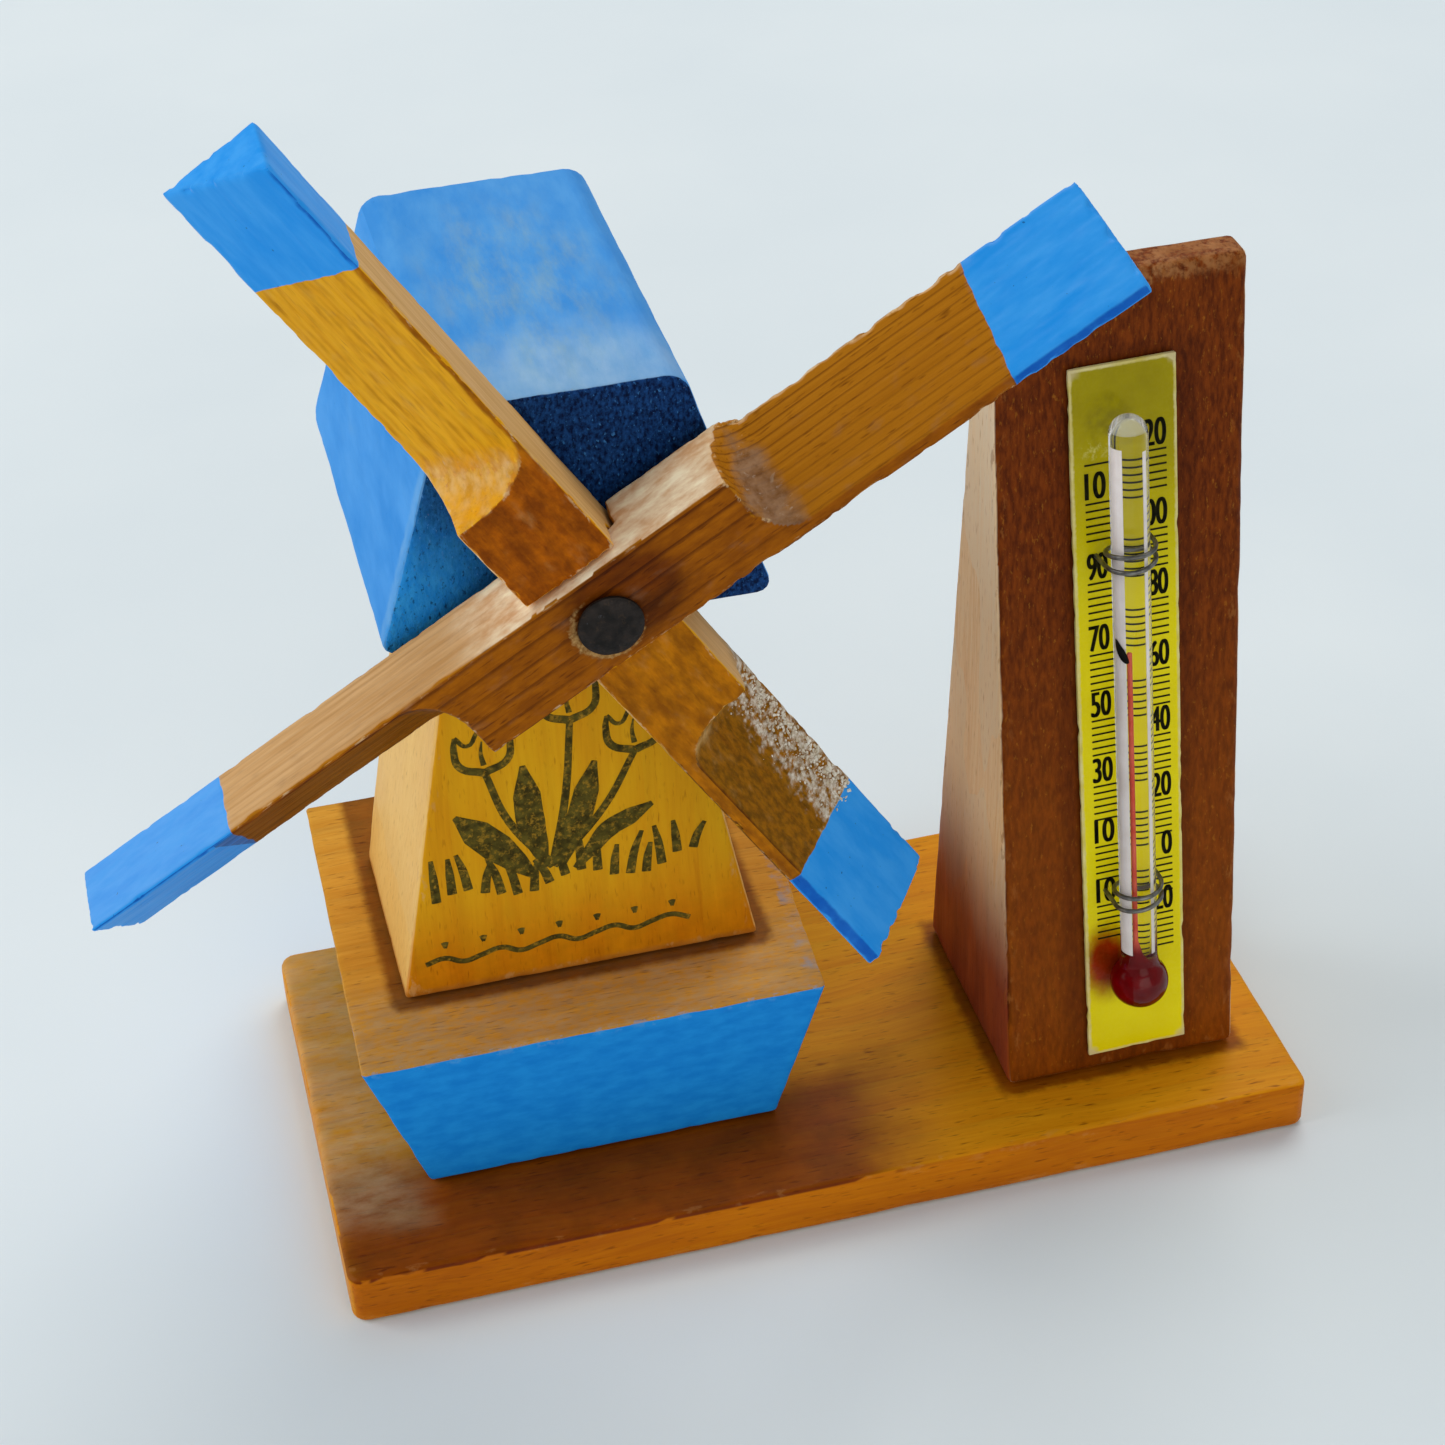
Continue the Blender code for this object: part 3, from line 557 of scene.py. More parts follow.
def build_cap():
    low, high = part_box("cap_block")
    middle = (low.x + high.x) / 2
    foot = (high.x - low.x) / 2

    def corner(x, y, z):
        half = CAP_TOP / 2 if z > 0 else foot
        return middle + x * half, high.y if y > 0 else low.y, high.z if z > 0 else low.z

    bm = block(corner, 0.5 * MM, 1.1 * MM, 4, rounded_pairs=(1, CAP_CORNER), dent=0.09, nick=0.3, nick_size=2.8, reach=1.3)
    keep_fields(bm, {
        "paint": lambda p, n: 5.0,
        "top": lambda p, n: facing(n, UP, 0.6),
        "end": lambda p, n: facing(n, FRONT, 0.55),
        "end_low": lambda p, n: -10 - (p.x + 26) - (p.z - 92) * 0.6 if n.y < -0.4 else -60,
        "back": lambda p, n: facing(n, (0, 1, 0), 0.55),
        "smudge": lambda p, n: 9 - math.hypot((p.x + 24) * 1.1, (p.y - 2) * 0.5) if n.z > 0.8 else -5,
        "near_front": lambda p, n: 10 - math.hypot((p.x + 22) * 0.8, p.y + 19) if n.z > 0.6 else -9,
        # painted highlight along the front edge of the left face
        "painted_highlight_left_edge": lambda p, n: 0.9 - abs(p.y + 19.2) if n.x < -0.35 else -5,
    })
    pine = dict(ring=2.6, ring_strength=0.3, sway=3.0, place=(middle, 0.0, high.z), turn=(0.0, 0.0, math.pi / 2),
                shades=("#a8722e", "#c99650", "#ddb070", "#7a4a18"), rough=(0.5, 0.62), across="Y")
    # matt blue paint, chalky on top and soaked nearly navy into the end grain
    material = finish("blue matt paint on pine", pine, [
        dict(field="paint", shades=("#3290e4", "#4ca0ee"), mottle=5.0, rough=0.58, drag=(0.3, 1, 1),
             lift=0.3, grit=0.45, grit_height=0.7),
        dict(field="top", shades=("#3c8edc", "#569fe2"), soft=0.5, mottle=3.5, strength=0.8, drag=(0.35, 1, 1),
             rough=0.6),
        dict(field="near_front", shades=("#8cb4d4", "#a8c6dc"), soft=7.0, ragged=1.5, tear=4.0, mottle=2.0, strength=0.6,
             drag=(0.4, 1, 1)),
        dict(field="smudge", shades=("#9fb48c", "#b4bf8e"), soft=5.0, ragged=2.5, tear=4.0, cover=0.4, patch=2.4,
             haze=0.22, strength=0.34, drag=(0.3, 1, 1), seed=0.02),
        dict(field="end", shades=("#02143c", "#1a4888"), soft=0.35, ragged=0.25, mottle=0.38, rough=0.62,
             drag=(1, 1, 0.7), lift=0.0, grit=0.4, grit_height=3.2),
        dict(field="end_low", shades=("#1c90f0", "#34a4fa"), soft=9.0, ragged=2.0, tear=4.0, mottle=0.8, strength=0.95,
             drag=(1, 1, 0.45)),
        dict(field="end", shades=("#02102c", "#041a3c"), soft=0.3, cover=0.3, patch=0.5, patch_detail=3.0,
             haze=0.06, strength=0.75, drag=(1, 1, 0.6), seed=0.05),
        dict(field="end", shades=("#2a6cb4", "#4a8cd0"), soft=0.3, cover=0.26, patch=0.4, patch_detail=3.0,
             haze=0.05, strength=0.85, drag=(1, 1, 0.7)),
        dict(field="back", shades=("#1c5296", "#2f6cb0"), soft=0.35, ragged=0.25, mottle=0.6, rough=0.62,
             drag=(1, 1, 0.45)),
        # painted highlight: a paler blue line on the left face along its front edge
        dict(field="painted_highlight_left_edge", shades=("#5aa2e6", "#74b2ea"), soft=0.5, ragged=0.3, tear=1.2, strength=0.7),
        dict(field="edge", shades=("#8f6a3a", "#c09a5e"), tear=0.8, ragged=0.5, soft=0.2, cover=0.16, patch=1.1,
             strength=0.6, drag=(0.6, 1, 1)),
        dict(field="paint", shades=("#1c4e8a", "#2c66a8"), cover=0.1, patch=0.42, patch_detail=2.0, haze=0.04,
             strength=0.55),
    ], relief=0.07)
    settle("cap_block_painted", bm, material, "stand", ["cap_block"])


# ---------------------------------------------------------------- sails

def blade_cutter(length, strip, reach):
    """Wood carved off one arm: a round scoop near the hub, then a slanted flat to the tip."""
    front_edge = Vector((0, 0, -SLAT_WIDTH / 2 + strip))
    rear_edge = Vector((0, SLAT_THICKNESS, SLAT_WIDTH / 2 + reach))
    across = (rear_edge - front_edge).normalized()
    outward = Vector((0, -across.z, across.y))
    height = 2 * SLAT_WIDTH
    flat = SCOOP_START + SCOOP_RADIUS
    tip = length + SLAT_WIDTH
    side = [(SCOOP_START, height)]
    for step in range(13):
        turn = math.pi / 24 * step
        side.append((flat - SCOOP_RADIUS * math.cos(turn), SCOOP_RADIUS * (1 - math.sin(turn))))
    side += [(tip, 0), (tip, height)]
    start = front_edge - across * SLAT_WIDTH
    bm = bmesh.new()
    bm.faces.new([bm.verts.new(start + Vector((along, 0, 0)) + outward * up) for along, up in side])
    raised = bmesh.ops.extrude_face_region(bm, geom=list(bm.faces))
    moved = [part for part in raised["geom"] if isinstance(part, bmesh.types.BMVert)]
    bmesh.ops.translate(bm, verts=moved, vec=across * (4 * SLAT_WIDTH))
    return bm


def build_slat(name, node, angle, offset, arms, strips, reach, lap, front, borders, material, seed, tears,
               stain=lambda p, n: -9):
    """One slat of the sails, carved in millimetres about its own nail hole, then turned into place.

    X runs out along the arm, Y back through the slat, Z across it.
    """
    bm = bmesh.new()
    bmesh.ops.create_cube(bm, size=1)
    bmesh.ops.scale(bm, verts=bm.verts, vec=(sum(arms), SLAT_THICKNESS, SLAT_WIDTH))
    bmesh.ops.translate(bm, verts=bm.verts, vec=((arms[0] - arms[1]) / 2, SLAT_THICKNESS / 2, offset))
    mesh = bpy.data.meshes.new("blank")
    bm.to_mesh(mesh)
    bm.free()
    blank = bpy.data.objects.new("blank", mesh)
    bpy.context.scene.collection.objects.link(blank)
    cutters = []
    for arm, strip, turn in zip(arms, strips, (0, math.pi)):
        cutter = blade_cutter(arm, strip, reach)
        bmesh.ops.transform(cutter, verts=cutter.verts,
                            matrix=Matrix.Translation((0, 0, offset)) @ Matrix.Rotation(turn, 4, "Y"))
        cutters.append(cutter_for(blank, cutter))
    other_angle, other_offset, low, high = lap
    halving = bmesh.new()
    bmesh.ops.create_cube(halving, size=1)
    bmesh.ops.scale(halving, verts=halving.verts, vec=(60, high - low, SLAT_WIDTH + 0.6))
    bmesh.ops.translate(halving, verts=halving.verts, vec=(0, (low + high) / 2, other_offset))
    bmesh.ops.transform(halving, verts=halving.verts, matrix=Matrix.Rotation(angle - other_angle, 4, "Y"))
    cutters.append(cutter_for(blank, halving))
    bore = bmesh.new()
    bmesh.ops.create_cone(bore, cap_ends=True, segments=32, radius1=NAIL_RADIUS + 0.3, radius2=NAIL_RADIUS + 0.3,
                          depth=3 * SLAT_THICKNESS, matrix=Matrix.Rotation(math.pi / 2, 4, "X"))
    cutters.append(cutter_for(blank, bore))
    remesh = blank.modifiers.new("even cells", "REMESH")
    remesh.mode = "VOXEL"
    remesh.voxel_size = SAIL_VOXEL
    bm = shaped(blank, cutters)
    for turn in range(2):
        bmesh.ops.smooth_vert(bm, verts=bm.verts, factor=0.5, use_axis_x=True, use_axis_y=True, use_axis_z=True)
    bm.normal_update()
    half = SLAT_WIDTH / 2
    shift = Vector((seed * 5.1, seed * 2.3, seed * 3.9))
    is_front_slat = front < SLAT_BACK - 10 * MM
    bm.verts.index_update()
    # how sharply the surface turns at each vertex, spread over its neighbours: 1 on an edge
    bend = [max(0.0, 1 - min(vert.normal.dot(face.normal) for face in vert.link_faces)) for vert in bm.verts]
    for turn in range(3):
        bend = [(bend[vert.index] + sum(bend[edge.other_vert(vert).index] for edge in vert.link_edges))
                / (1 + len(vert.link_edges)) for vert in bm.verts]
    bend = [min(1.0, max(0.0, value * 22 - 0.15)) for value in bend]
    torn = bm.verts.layers.float.new("torn")
    moved = []
    for vert in bm.verts:
        spot = vert.co
        normal = vert.normal
        along = abs(spot.x)
        depth = 0.05 * noise.noise(Vector((spot.x / 9, spot.y / 2, spot.z / 2)) + shift)
        # knife marks and raised fibres run along the blades
        depth += 0.035 * noise.noise(Vector((spot.x / 3.2, spot.y / 0.5, spot.z / 0.5)) + shift)
        chip = noise.noise(Vector((spot.x / 1.6, spot.y / 1.1, spot.z / 1.1)) + shift * 2)
        depth -= 0.7 * bend[vert.index] * max(0.0, chip - 0.05)
        # torn fibres at the steep end of each scoop
        end = max(0.0, 1 - abs(along - (SCOOP_START + 1.8)) / 2.9) if along < SCOOP_START + 5 else 0.0
        scoop = tears[0 if spot.x > 0 else 1] * end if abs(normal.y) < 0.93 and abs(normal.z) < 0.93 else 0.0
        depth += 0.2 * scoop * noise.noise(spot / 0.6 + shift)
        vert[torn] = 4 * scoop - 1.2 - (max(0.0, spot.z - 2.0) * 0.9 if is_front_slat and spot.x > 0 else 0.0)
        around = math.hypot(spot.x, spot.z)
        if is_front_slat and spot.y < 1 and 3.0 < around < 4.6:
            burst = max(0.0, 1 - abs(around - 3.8) / 0.55) * (0.6 + noise.noise(spot / 0.5 + shift))
            depth += 0.22 * burst * (1 if -spot.x * 0.9 - spot.z * 0.44 > 0 else 0.35)
        moved.append((vert, normal * depth))
    for vert, move in moved:
        vert.co += move

    def rim(p, n):
        """Fibres burst up round the nail, most at its lower left."""
        if not is_front_slat or n.y > -0.3:
            return -9
        reach = math.hypot(p.x, p.z)
        toward = (-p.x * 0.9 - p.z * 0.44) / max(reach, 0.1)
        return 0.3 - abs(reach - 3.65) + 0.45 * toward - 0.3

    share_up = lambda p: min(1.0, max(0.0, (p.z + half) / SLAT_WIDTH))
    layers = {
        "front": lambda p, n: facing(n, (0, -1, 0), 0.8),
        "side": lambda p, n: (abs(n.z) - 0.9) * 4,
        "paint": lambda p, n: borders(p, share_up(p)),
        # paler wood on the top face by the hub, made paler still as painted light
        "hub_side_pale_and_painted_light": lambda p, n: 15 - abs(p.x - 4) if n.z > 0.8 else -9,
        "halo": lambda p, n: 5.2 - math.hypot((p.x - 2.6) * 0.8, p.z - 1.2) if is_front_slat and n.y < -0.6 else -9,
        "rim": rim,
        # painted shadow of the front slat on the rear slat's face beside the hub
        "painted_shadow_of_front_slat": lambda p, n: min(p.x - 3, 20 - p.x) if n.y < -0.6 and not is_front_slat else -9,
        "stain": stain,
        "glue": lambda p, n: min(stain(p, n), p.y - 5.6 - 0.05 * (p.x + 30), 1.6),
        # painted shade on the downward carved face of the front slat's left arm
        "under": lambda p, n: (-n.z - 0.35) * 4 if is_front_slat and n.y < -0.2 and -44 < p.x < 0 else -9,
        "paint_side": lambda p, n: min(borders(p, share_up(p)), facing(n, (0, 0, 1), 0.85)),
        # painted shade on the front strip of the blue tips
        "painted_shade_tip_fronts": lambda p, n: min(borders(p, share_up(p)), facing(n, (0, -1, 0), 0.93)),
    }
    bm.normal_update()
    for key, field in layers.items():
        layer = bm.verts.layers.float.new(key)
        for vert in bm.verts:
            vert[layer] = field(vert.co, vert.normal)
    edge = bm.verts.layers.float.new("edge")
    for vert in bm.verts:
        vert[edge] = bend[vert.index] * 1.6 - 0.8
    place = Matrix.Translation((HUB.x, front, HUB.z)) @ Matrix.Rotation(-angle, 4, "Y") @ Matrix.Scale(MM, 4)
    bmesh.ops.transform(bm, matrix=place, verts=bm.verts)
    settle(name, bm, material, "sails", [node], smooth=60)


def slat_finish(name, angle, front, shades, front_tint, scoop_shades, ring, late, tilt):
    """Knife-carved pine under thin orange lacquer, its tips dipped in blue."""
    pine = dict(ring=ring, late=late, wavy=0.5, ring_strength=0.2, sway=0.8, place=(HUB.x, front, HUB.z),
                turn=(math.radians(tilt), -angle, 0.0),
                shades=shades, rough=(0.42, 0.56), fibre=0.35, across="Z")
    return finish(name, pine, [
        dict(field="front", shades=front_tint, tint=True, soft=0.4, mottle=1.4, drag=(0.45, 1, 1)),
        # painted shadow of the front slat on the rear slat's face beside the hub
        dict(field="painted_shadow_of_front_slat", shades=("#d4a878", "#f4cca0"), tint=True, soft=2.5, mottle=0.8, strength=0.8),
        dict(field="halo", shades=("#64482c", "#a4805c"), tint=True, soft=1.6, ragged=0.9, tear=1.6, strength=0.8,
             drag=(0.4, 1, 1)),
        dict(field="rim", shades=("#8c6434", "#cca468"), soft=0.25, ragged=0.35, tear=0.6, mottle=0.4, strength=0.75,
             rough=0.8),
        dict(field="side", shades=("#c89c68", "#e0b886"), soft=0.25, ragged=0.1, mottle=0.7, strength=0.75,
             drag=(0.06, 1, 1), rough=0.68),
        # paler wood on the top face by the hub, made paler still as painted light
        dict(field="hub_side_pale_and_painted_light", shades=("#d8a87c", "#fff0d0"), soft=5.0, ragged=1.2, tear=3.0, mottle=2.0,
             strength=0.95, drag=(0.5, 1, 1), rough=0.7),
        dict(field="stain", shades=("#706448", "#a8946c"), tint=True, soft=2.0, ragged=1.0, tear=2.5, mottle=0.6,
             strength=0.95, drag=(0.5, 1, 1)),
        dict(field="torn", shades=scoop_shades, soft=1.1, ragged=0.8, tear=1.6, mottle=1.3, strength=0.8, rough=0.85,
             cover=0.85, patch=1.6, haze=0.2, lift=0.4, grit=0.35, grit_height=0.5, drag=(0.6, 1, 1)),
        dict(field="torn", shades=("#a8907c", "#d8c8b4"), soft=0.9, ragged=0.8, mottle=0.5, cover=0.26, patch=0.7,
             haze=0.08, strength=0.5, rough=0.9, seed=0.02, drag=(0.4, 1, 1)),
        dict(field="glue", shades=("#b8a68c", "#f4ece0"), soft=0.8, ragged=0.9, tear=1.0, mottle=0.45, cover=0.5, patch=1.0,
             haze=0.1, strength=0.8, rough=0.45, lift=0.7, grit=0.3, grit_height=1.0),
        dict(field="edge", shades=("#e3bd88", "#f0d4a8"), ragged=0.5, tear=0.7, soft=0.3, cover=0.4, patch=0.9,
             strength=0.6, drag=(0.4, 1, 1)),
        dict(field="paint", shades=("#2496f0", "#3ca2f6"), ragged=0.16, tear=2.2, soft=0.06, mottle=2.0, rough=0.42,
             drag=(0.3, 1, 1), lift=0.55, grit=0.9, grit_height=0.12),
        dict(field="paint", shades=("#16406e", "#2a5a8e"), cover=0.05, patch=0.5, patch_detail=1.0, haze=0.02,
             strength=0.7),
        dict(field="paint_side", shades=("#a4b8e2", "#bccaec"), soft=0.5, mottle=0.7,
             strength=0.15 if front < SLAT_BACK - 10 * MM else 0.42, drag=(0.4, 1, 1)),
        # painted shade on the downward carved face of the front slat's left arm
        dict(field="under", shades=("#a494a4", "#d8c8d0"), tint=True, soft=0.4, mottle=0.8, drag=(0.08, 1, 1), seed=0.07),
        # painted shade on the front strip of the blue tips
        dict(field="painted_shade_tip_fronts", shades=("#7c9cc8", "#90acd4"), tint=True, soft=0.3),
    ], relief=0.035)


def build_sails():
    front_angle, rear_angle = math.radians(31.0), math.radians(122.6)
    rear_front = SLAT_BACK - SLAT_THICKNESS * MM
    front_front = rear_front - SLAT_STEP
    lap = (front_front / MM + SLAT_THICKNESS + rear_front / MM) / 2

    def front_border(p, up):
        if p.x > 0:
            back = min(1.0, max(0.0, p.y / SLAT_THICKNESS))
            return p.x - (44.4 + 2.3 * (up + back) / 2)
        return -p.x - (41.6 + 2.7 * (1 - up))

    def rear_border(p, up):
        return p.x - 44.75 if p.x > 0 else -p.x - (40.4 + 0.8 * (1 - up))

    # the front slat's wood shades are darker than the rear slat's: partly its own wood, partly painted shade
    build_slat("sail_front_carved", "sail_front", front_angle, 0.4, (59.9, 58.9), (1.2, 0.5), -1.1,
               (rear_angle, 0.0, lap - 0.15 - front_front / MM, 40.0), front_front, front_border,
               slat_finish("orange lacquered carved pine, front slat", front_angle, front_front,
                           ("#a0600a", "#ae6c0e", "#bc7814", "#6a3602"), ("#ccb050", "#f0d870"),
                           ("#6e4c34", "#9c7c62"), 0.96, 0.8, -61), 1, (0.8, 0.3))
    build_slat("sail_rear_carved", "sail_rear", rear_angle, 0.0, (57.3, 56.5), (0.4, 1.5), 0.4,
               (front_angle, 0.4, -40.0, lap + 0.15 - rear_front / MM), rear_front, rear_border,
               slat_finish("orange lacquered carved pine, rear slat", rear_angle, rear_front,
                           ("#dc9610", "#eaa614", "#f4b41e", "#cc8c14"), ("#a0824a", "#d4b45c"),
                           ("#c08a3c", "#e4bc80"), 2.0, 0.25, -30), 2, (0.46, 0.3),
               lambda p, n: min(-17.5 - p.x, p.x + 42, 4) if -0.93 < n.y < 0.5 else -9)


def build_nail():
    low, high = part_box("hub_nail")
    length = (high.y - low.y) / MM
    head = (high.x - low.x) / MM / 2
    profile = [(0, 0.0), (0.9, -0.02), (1.7, -0.07), (2.4, -0.16), (2.9, -0.28), (head - 0.05, -0.5), (head, -0.7),
               (head - 0.1, -0.95), (NAIL_RADIUS + 0.3, -1.0), (NAIL_RADIUS, -1.4)]
    for step in range(1, 13):
        profile.append((NAIL_RADIUS - 0.05 * (step % 2), -1.4 - 0.5 * step))
    profile += [(NAIL_RADIUS, -length + 3.6), (0.3, -length), (0, -length)]
    place = Matrix.Translation((HUB.x, low.y, HUB.z)) @ Matrix.Rotation(math.pi / 2, 4, "X")
    bm = turned(profile, 48)
    bmesh.ops.subdivide_edges(bm, edges=[edge for edge in bm.edges if all(v.co.z > -0.9 for v in edge.verts)],
                              cuts=1, use_grid_fill=True)
    for vert in bm.verts:
        if vert.co.z > -0.9:
            across, up = vert.co.x, vert.co.y
            # the die's crossed lines and hammer dents on the head
            check = max(0.0, 1 - abs((across * 0.8 + up * 0.6) % 1.1 - 0.55) / 0.16)
            check = max(check, max(0.0, 1 - abs((across * 0.6 - up * 0.8) % 1.1 - 0.55) / 0.16))
            vert.co.z -= 0.05 * check * (vert.co.z > -0.3)
            vert.co.z += 0.07 * noise.noise(vert.co / 1.3) - 0.03
    bmesh.ops.transform(bm, matrix=place @ Matrix.Scale(MM, 4), verts=bm.verts)
    # drawn steel with black scale and brown rust in its dents: nearly matt, dull glints only
    steel = dict(shades=("#120d0a", "#2a221e"), mottle=1.2, grit=0.25, rough=(0.38, 0.62))
    keep_fields(bm, {"all_over": lambda p, n: 3.0})
    material = finish("blackened steel nail", steel, [
        dict(field="all_over", shades=("#3a2818", "#54402c"), cover=0.3, patch=0.7, haze=0.1, strength=0.5),
        dict(field="all_over", shades=("#4d5058", "#6c6f78"), cover=0.16, patch=0.9, haze=0.06, strength=0.5, rough=0.3,
             seed=0.01),
    ], relief=0.04, metallic=0.65)
    settle("hub_nail_rusted", bm, material, "stand", ["hub_nail"])


# ---------------------------------------------------------------- thermometer

def post_face():
    """Frame on the post's sloping face: X across, Z up the slope, -Y straight out of it."""
    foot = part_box("base_board")[1].z
    lean = math.atan2(POST_TOP[0] - POST_FOOT[0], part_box("thermometer_post")[1].z - foot)
    return Matrix.Translation((POST_X, POST_FOOT[0], foot)) @ Matrix.Rotation(-lean, 4, "X")


def plate_frame():
    """Frame on the middle of the plate's printed face."""
    return (post_face() @ Matrix.Translation((PLATE_SIDE * MM, -GAP - PLATE_SIZE[1] * MM, PLATE_MIDDLE * MM))
            @ Matrix.Rotation(PLATE_TILT, 4, "Y"))


def tube_frame():
    """Frame on the thermometer's axis, its origin in the middle of the bulb."""
    return (post_face() @ Matrix.Translation((BULB_SIDE * MM, -TUBE_OFF_FACE * MM, BULB_UP_FACE * MM))
            @ Matrix.Rotation(PLATE_TILT, 4, "Y"))


def build_post():
    low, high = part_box("thermometer_post")

    def corner(x, y, z):
        front, back = POST_TOP if z > 0 else POST_FOOT
        return POST_X + x * POST_WIDTH / 2, back if y > 0 else front, high.z if z > 0 else low.z

    bm = block(corner, 0.8 * MM, 1.3 * MM, 5, dent=0.05, nick=0.16, nick_size=3.5, reach=1.4)
    top, bottom = high.z / MM, low.z / MM
    keep_fields(bm, {
        "stain": lambda p, n: max(facing(n, (0, -0.99, 0.13), 0.55), facing(n, UP, 0.7)),
        "left": lambda p, n: facing(n, LEFT, 0.6),
        # the left side darker toward its foot: stain and painted shade
        "left_low_stain_and_painted_shade": lambda p, n: (30 - p.z) if n.x < -0.5 else -30,
        # painted light: the front lighter and warmer toward its foot
        "painted_light_low_front": lambda p, n: 46 - (p.z - bottom) if n.y < -0.5 else -30,
        "top_rub": lambda p, n: 1.6 - (top - p.z),
        "plate_shade": lambda p, n: (min(7.8 - abs(p.x - 37.8), p.z - 4.5, 97 - p.z) if n.y < -0.5 else -5),
    })
    pine = dict(ring=3.2, ring_strength=0.25, sway=4.0, place=(POST_X, 0.0, 0.0), turn=(0.0, -math.pi / 2, 0.0),
                shades=("#f0b878", "#ffd8a4", "#ffe4bc", "#cc9454"), rough=(0.45, 0.6), across="Z")
    # dark walnut stain on the face, left thin on the sides where the pine shows through
    material = finish("walnut stained pine post", pine, [
        dict(field="stain", shades=("#582000", "#803804"), soft=0.5, ragged=0.3, mottle=0.5, strength=0.998,
             drag=(0.25, 1, 1), rough=0.5),
        dict(field="stain", shades=("#a46014", "#c47e24"), soft=0.5, cover=0.28, patch=0.4, patch_detail=4.0, haze=0.05,
             strength=0.42, drag=(0.4, 1, 1), seed=0.03),
        # the left side darker toward its foot: stain and painted shade
        dict(field="left_low_stain_and_painted_shade", shades=("#882c04", "#a44812"), tint=True, soft=13.0, ragged=2.0, tear=8.0, strength=0.95,
             drag=(0.2, 1, 1)),
        # painted light: the front lighter and warmer toward its foot
        dict(field="painted_light_low_front", shades=("#9a4e02", "#b05e04"), soft=30.0, mottle=2.0, strength=0.32, drag=(0.3, 1, 1)),
        dict(field="plate_shade", shades=("#7a5a48", "#8f6c58"), tint=True, soft=1.0, ragged=0.3, strength=0.35),
        dict(field="top_rub", shades=("#9c6230", "#bc8250"), soft=0.7, ragged=0.7, tear=1.2, cover=0.55, patch=1.0,
             haze=0.12, strength=0.7),
        dict(field="edge", shades=("#8c4a1c", "#a8682e"), ragged=0.5, tear=0.9, soft=0.3, cover=0.35, patch=1.3,
             strength=0.5, drag=(0.4, 1, 1)),
    ], relief=0.05, coat_weight=0.02, coat_roughness=0.35)
    settle("thermometer_post_stained", bm, material, "stand", ["thermometer_post"])


def build_plate():
    width, thick, tall = [part * MM for part in PLATE_SIZE]
    bm = bmesh.new()
    bmesh.ops.create_cube(bm, size=1)
    bmesh.ops.scale(bm, verts=bm.verts, vec=(width, thick, tall))
    edges = [(edge.verts[0].co.copy(), edge.verts[1].co.copy()) for edge in bm.edges]
    bmesh.ops.bevel(bm, geom=bm.edges[:], affect="EDGES", offset=0.12 * MM, segments=2, profile=0.5, material=-1)
    grid_cuts(bm, 0.9 * MM)
    wear(bm, edges, 6, dent=0.015, nick=0.16, nick_size=1.2, reach=0.5)
    bmesh.ops.recalc_face_normals(bm, faces=bm.faces)
    half_x, half_z = PLATE_SIZE[0] / 2, PLATE_SIZE[2] / 2
    keep_fields(bm, {
        "cut_edge": lambda p, n: 0.34 - min(half_x - abs(p.x), half_z - abs(p.z)),
        "top_shade": lambda p, n: p.z - 24,
        "smudge": lambda p, n: 2.1 - math.hypot(p.x + 1.6, (p.z - 37.3) * 0.9),
        "scuff": lambda p, n: 1.6 - math.hypot(p.x + 3.2, (p.z - 34.0) * 1.6),
        "corner_wear": lambda p, n: 1.2 - math.hypot(half_x - abs(p.x), half_z - abs(p.z)),
        # painted reflection of the red bulb on the plate
        "painted_bulb_reflection": lambda p, n: 2.7 - math.hypot(p.x + 3.6, (p.z + 30.6) * 0.6),
    })
    bmesh.ops.transform(bm, verts=bm.verts, matrix=plate_frame() @ Matrix.Translation((0, thick / 2, 0)))
    tilt = plate_frame().to_euler()
    yellow = dict(shades=("#eedb06", "#f6e60e"), mottle=9.0, grit=0.5, rough=(0.22, 0.32),
                  place=tuple(plate_frame().translation), turn=tuple(tilt))
    # yellow lithographed card under clear lacquer: glossy face, pale cut edges
    material = finish("yellow lacquered printed plate", yellow, [
        dict(field="top_shade", shades=("#8c7c02", "#a09004"), soft=18.0, strength=0.9, mottle=7.0, ragged=1.5,
             tear=9.0),
        dict(field="smudge", shades=("#4a4210", "#6a5e14"), soft=1.6, ragged=1.0, tear=1.4, cover=0.6, patch=1.2,
             haze=0.2, strength=0.5),
        dict(field="scuff", shades=("#e6dc7a", "#f0e898"), soft=0.7, ragged=0.6, tear=0.9, cover=0.4, patch=0.8,
             haze=0.1, strength=0.5),
        # painted reflection: red light from the bulb on the plate behind it
        dict(field="painted_bulb_reflection", shades=("#7c0402", "#a81404"), soft=1.3, ragged=0.2, strength=0.97),
        dict(field="cut_edge", shades=("#d8c66a", "#efe2a8"), soft=0.12, ragged=0.08, tear=0.6, strength=0.8,
             rough=0.6),
        dict(field="corner_wear", shades=("#e6d8a8", "#cdb98a"), soft=0.4, ragged=0.3, strength=0.6, rough=0.7),
    ], relief=0.01, coat_weight=0.12, coat_roughness=0.15)
    settle("scale_plate_printed", bm, material, "stand", ["scale_plate"])


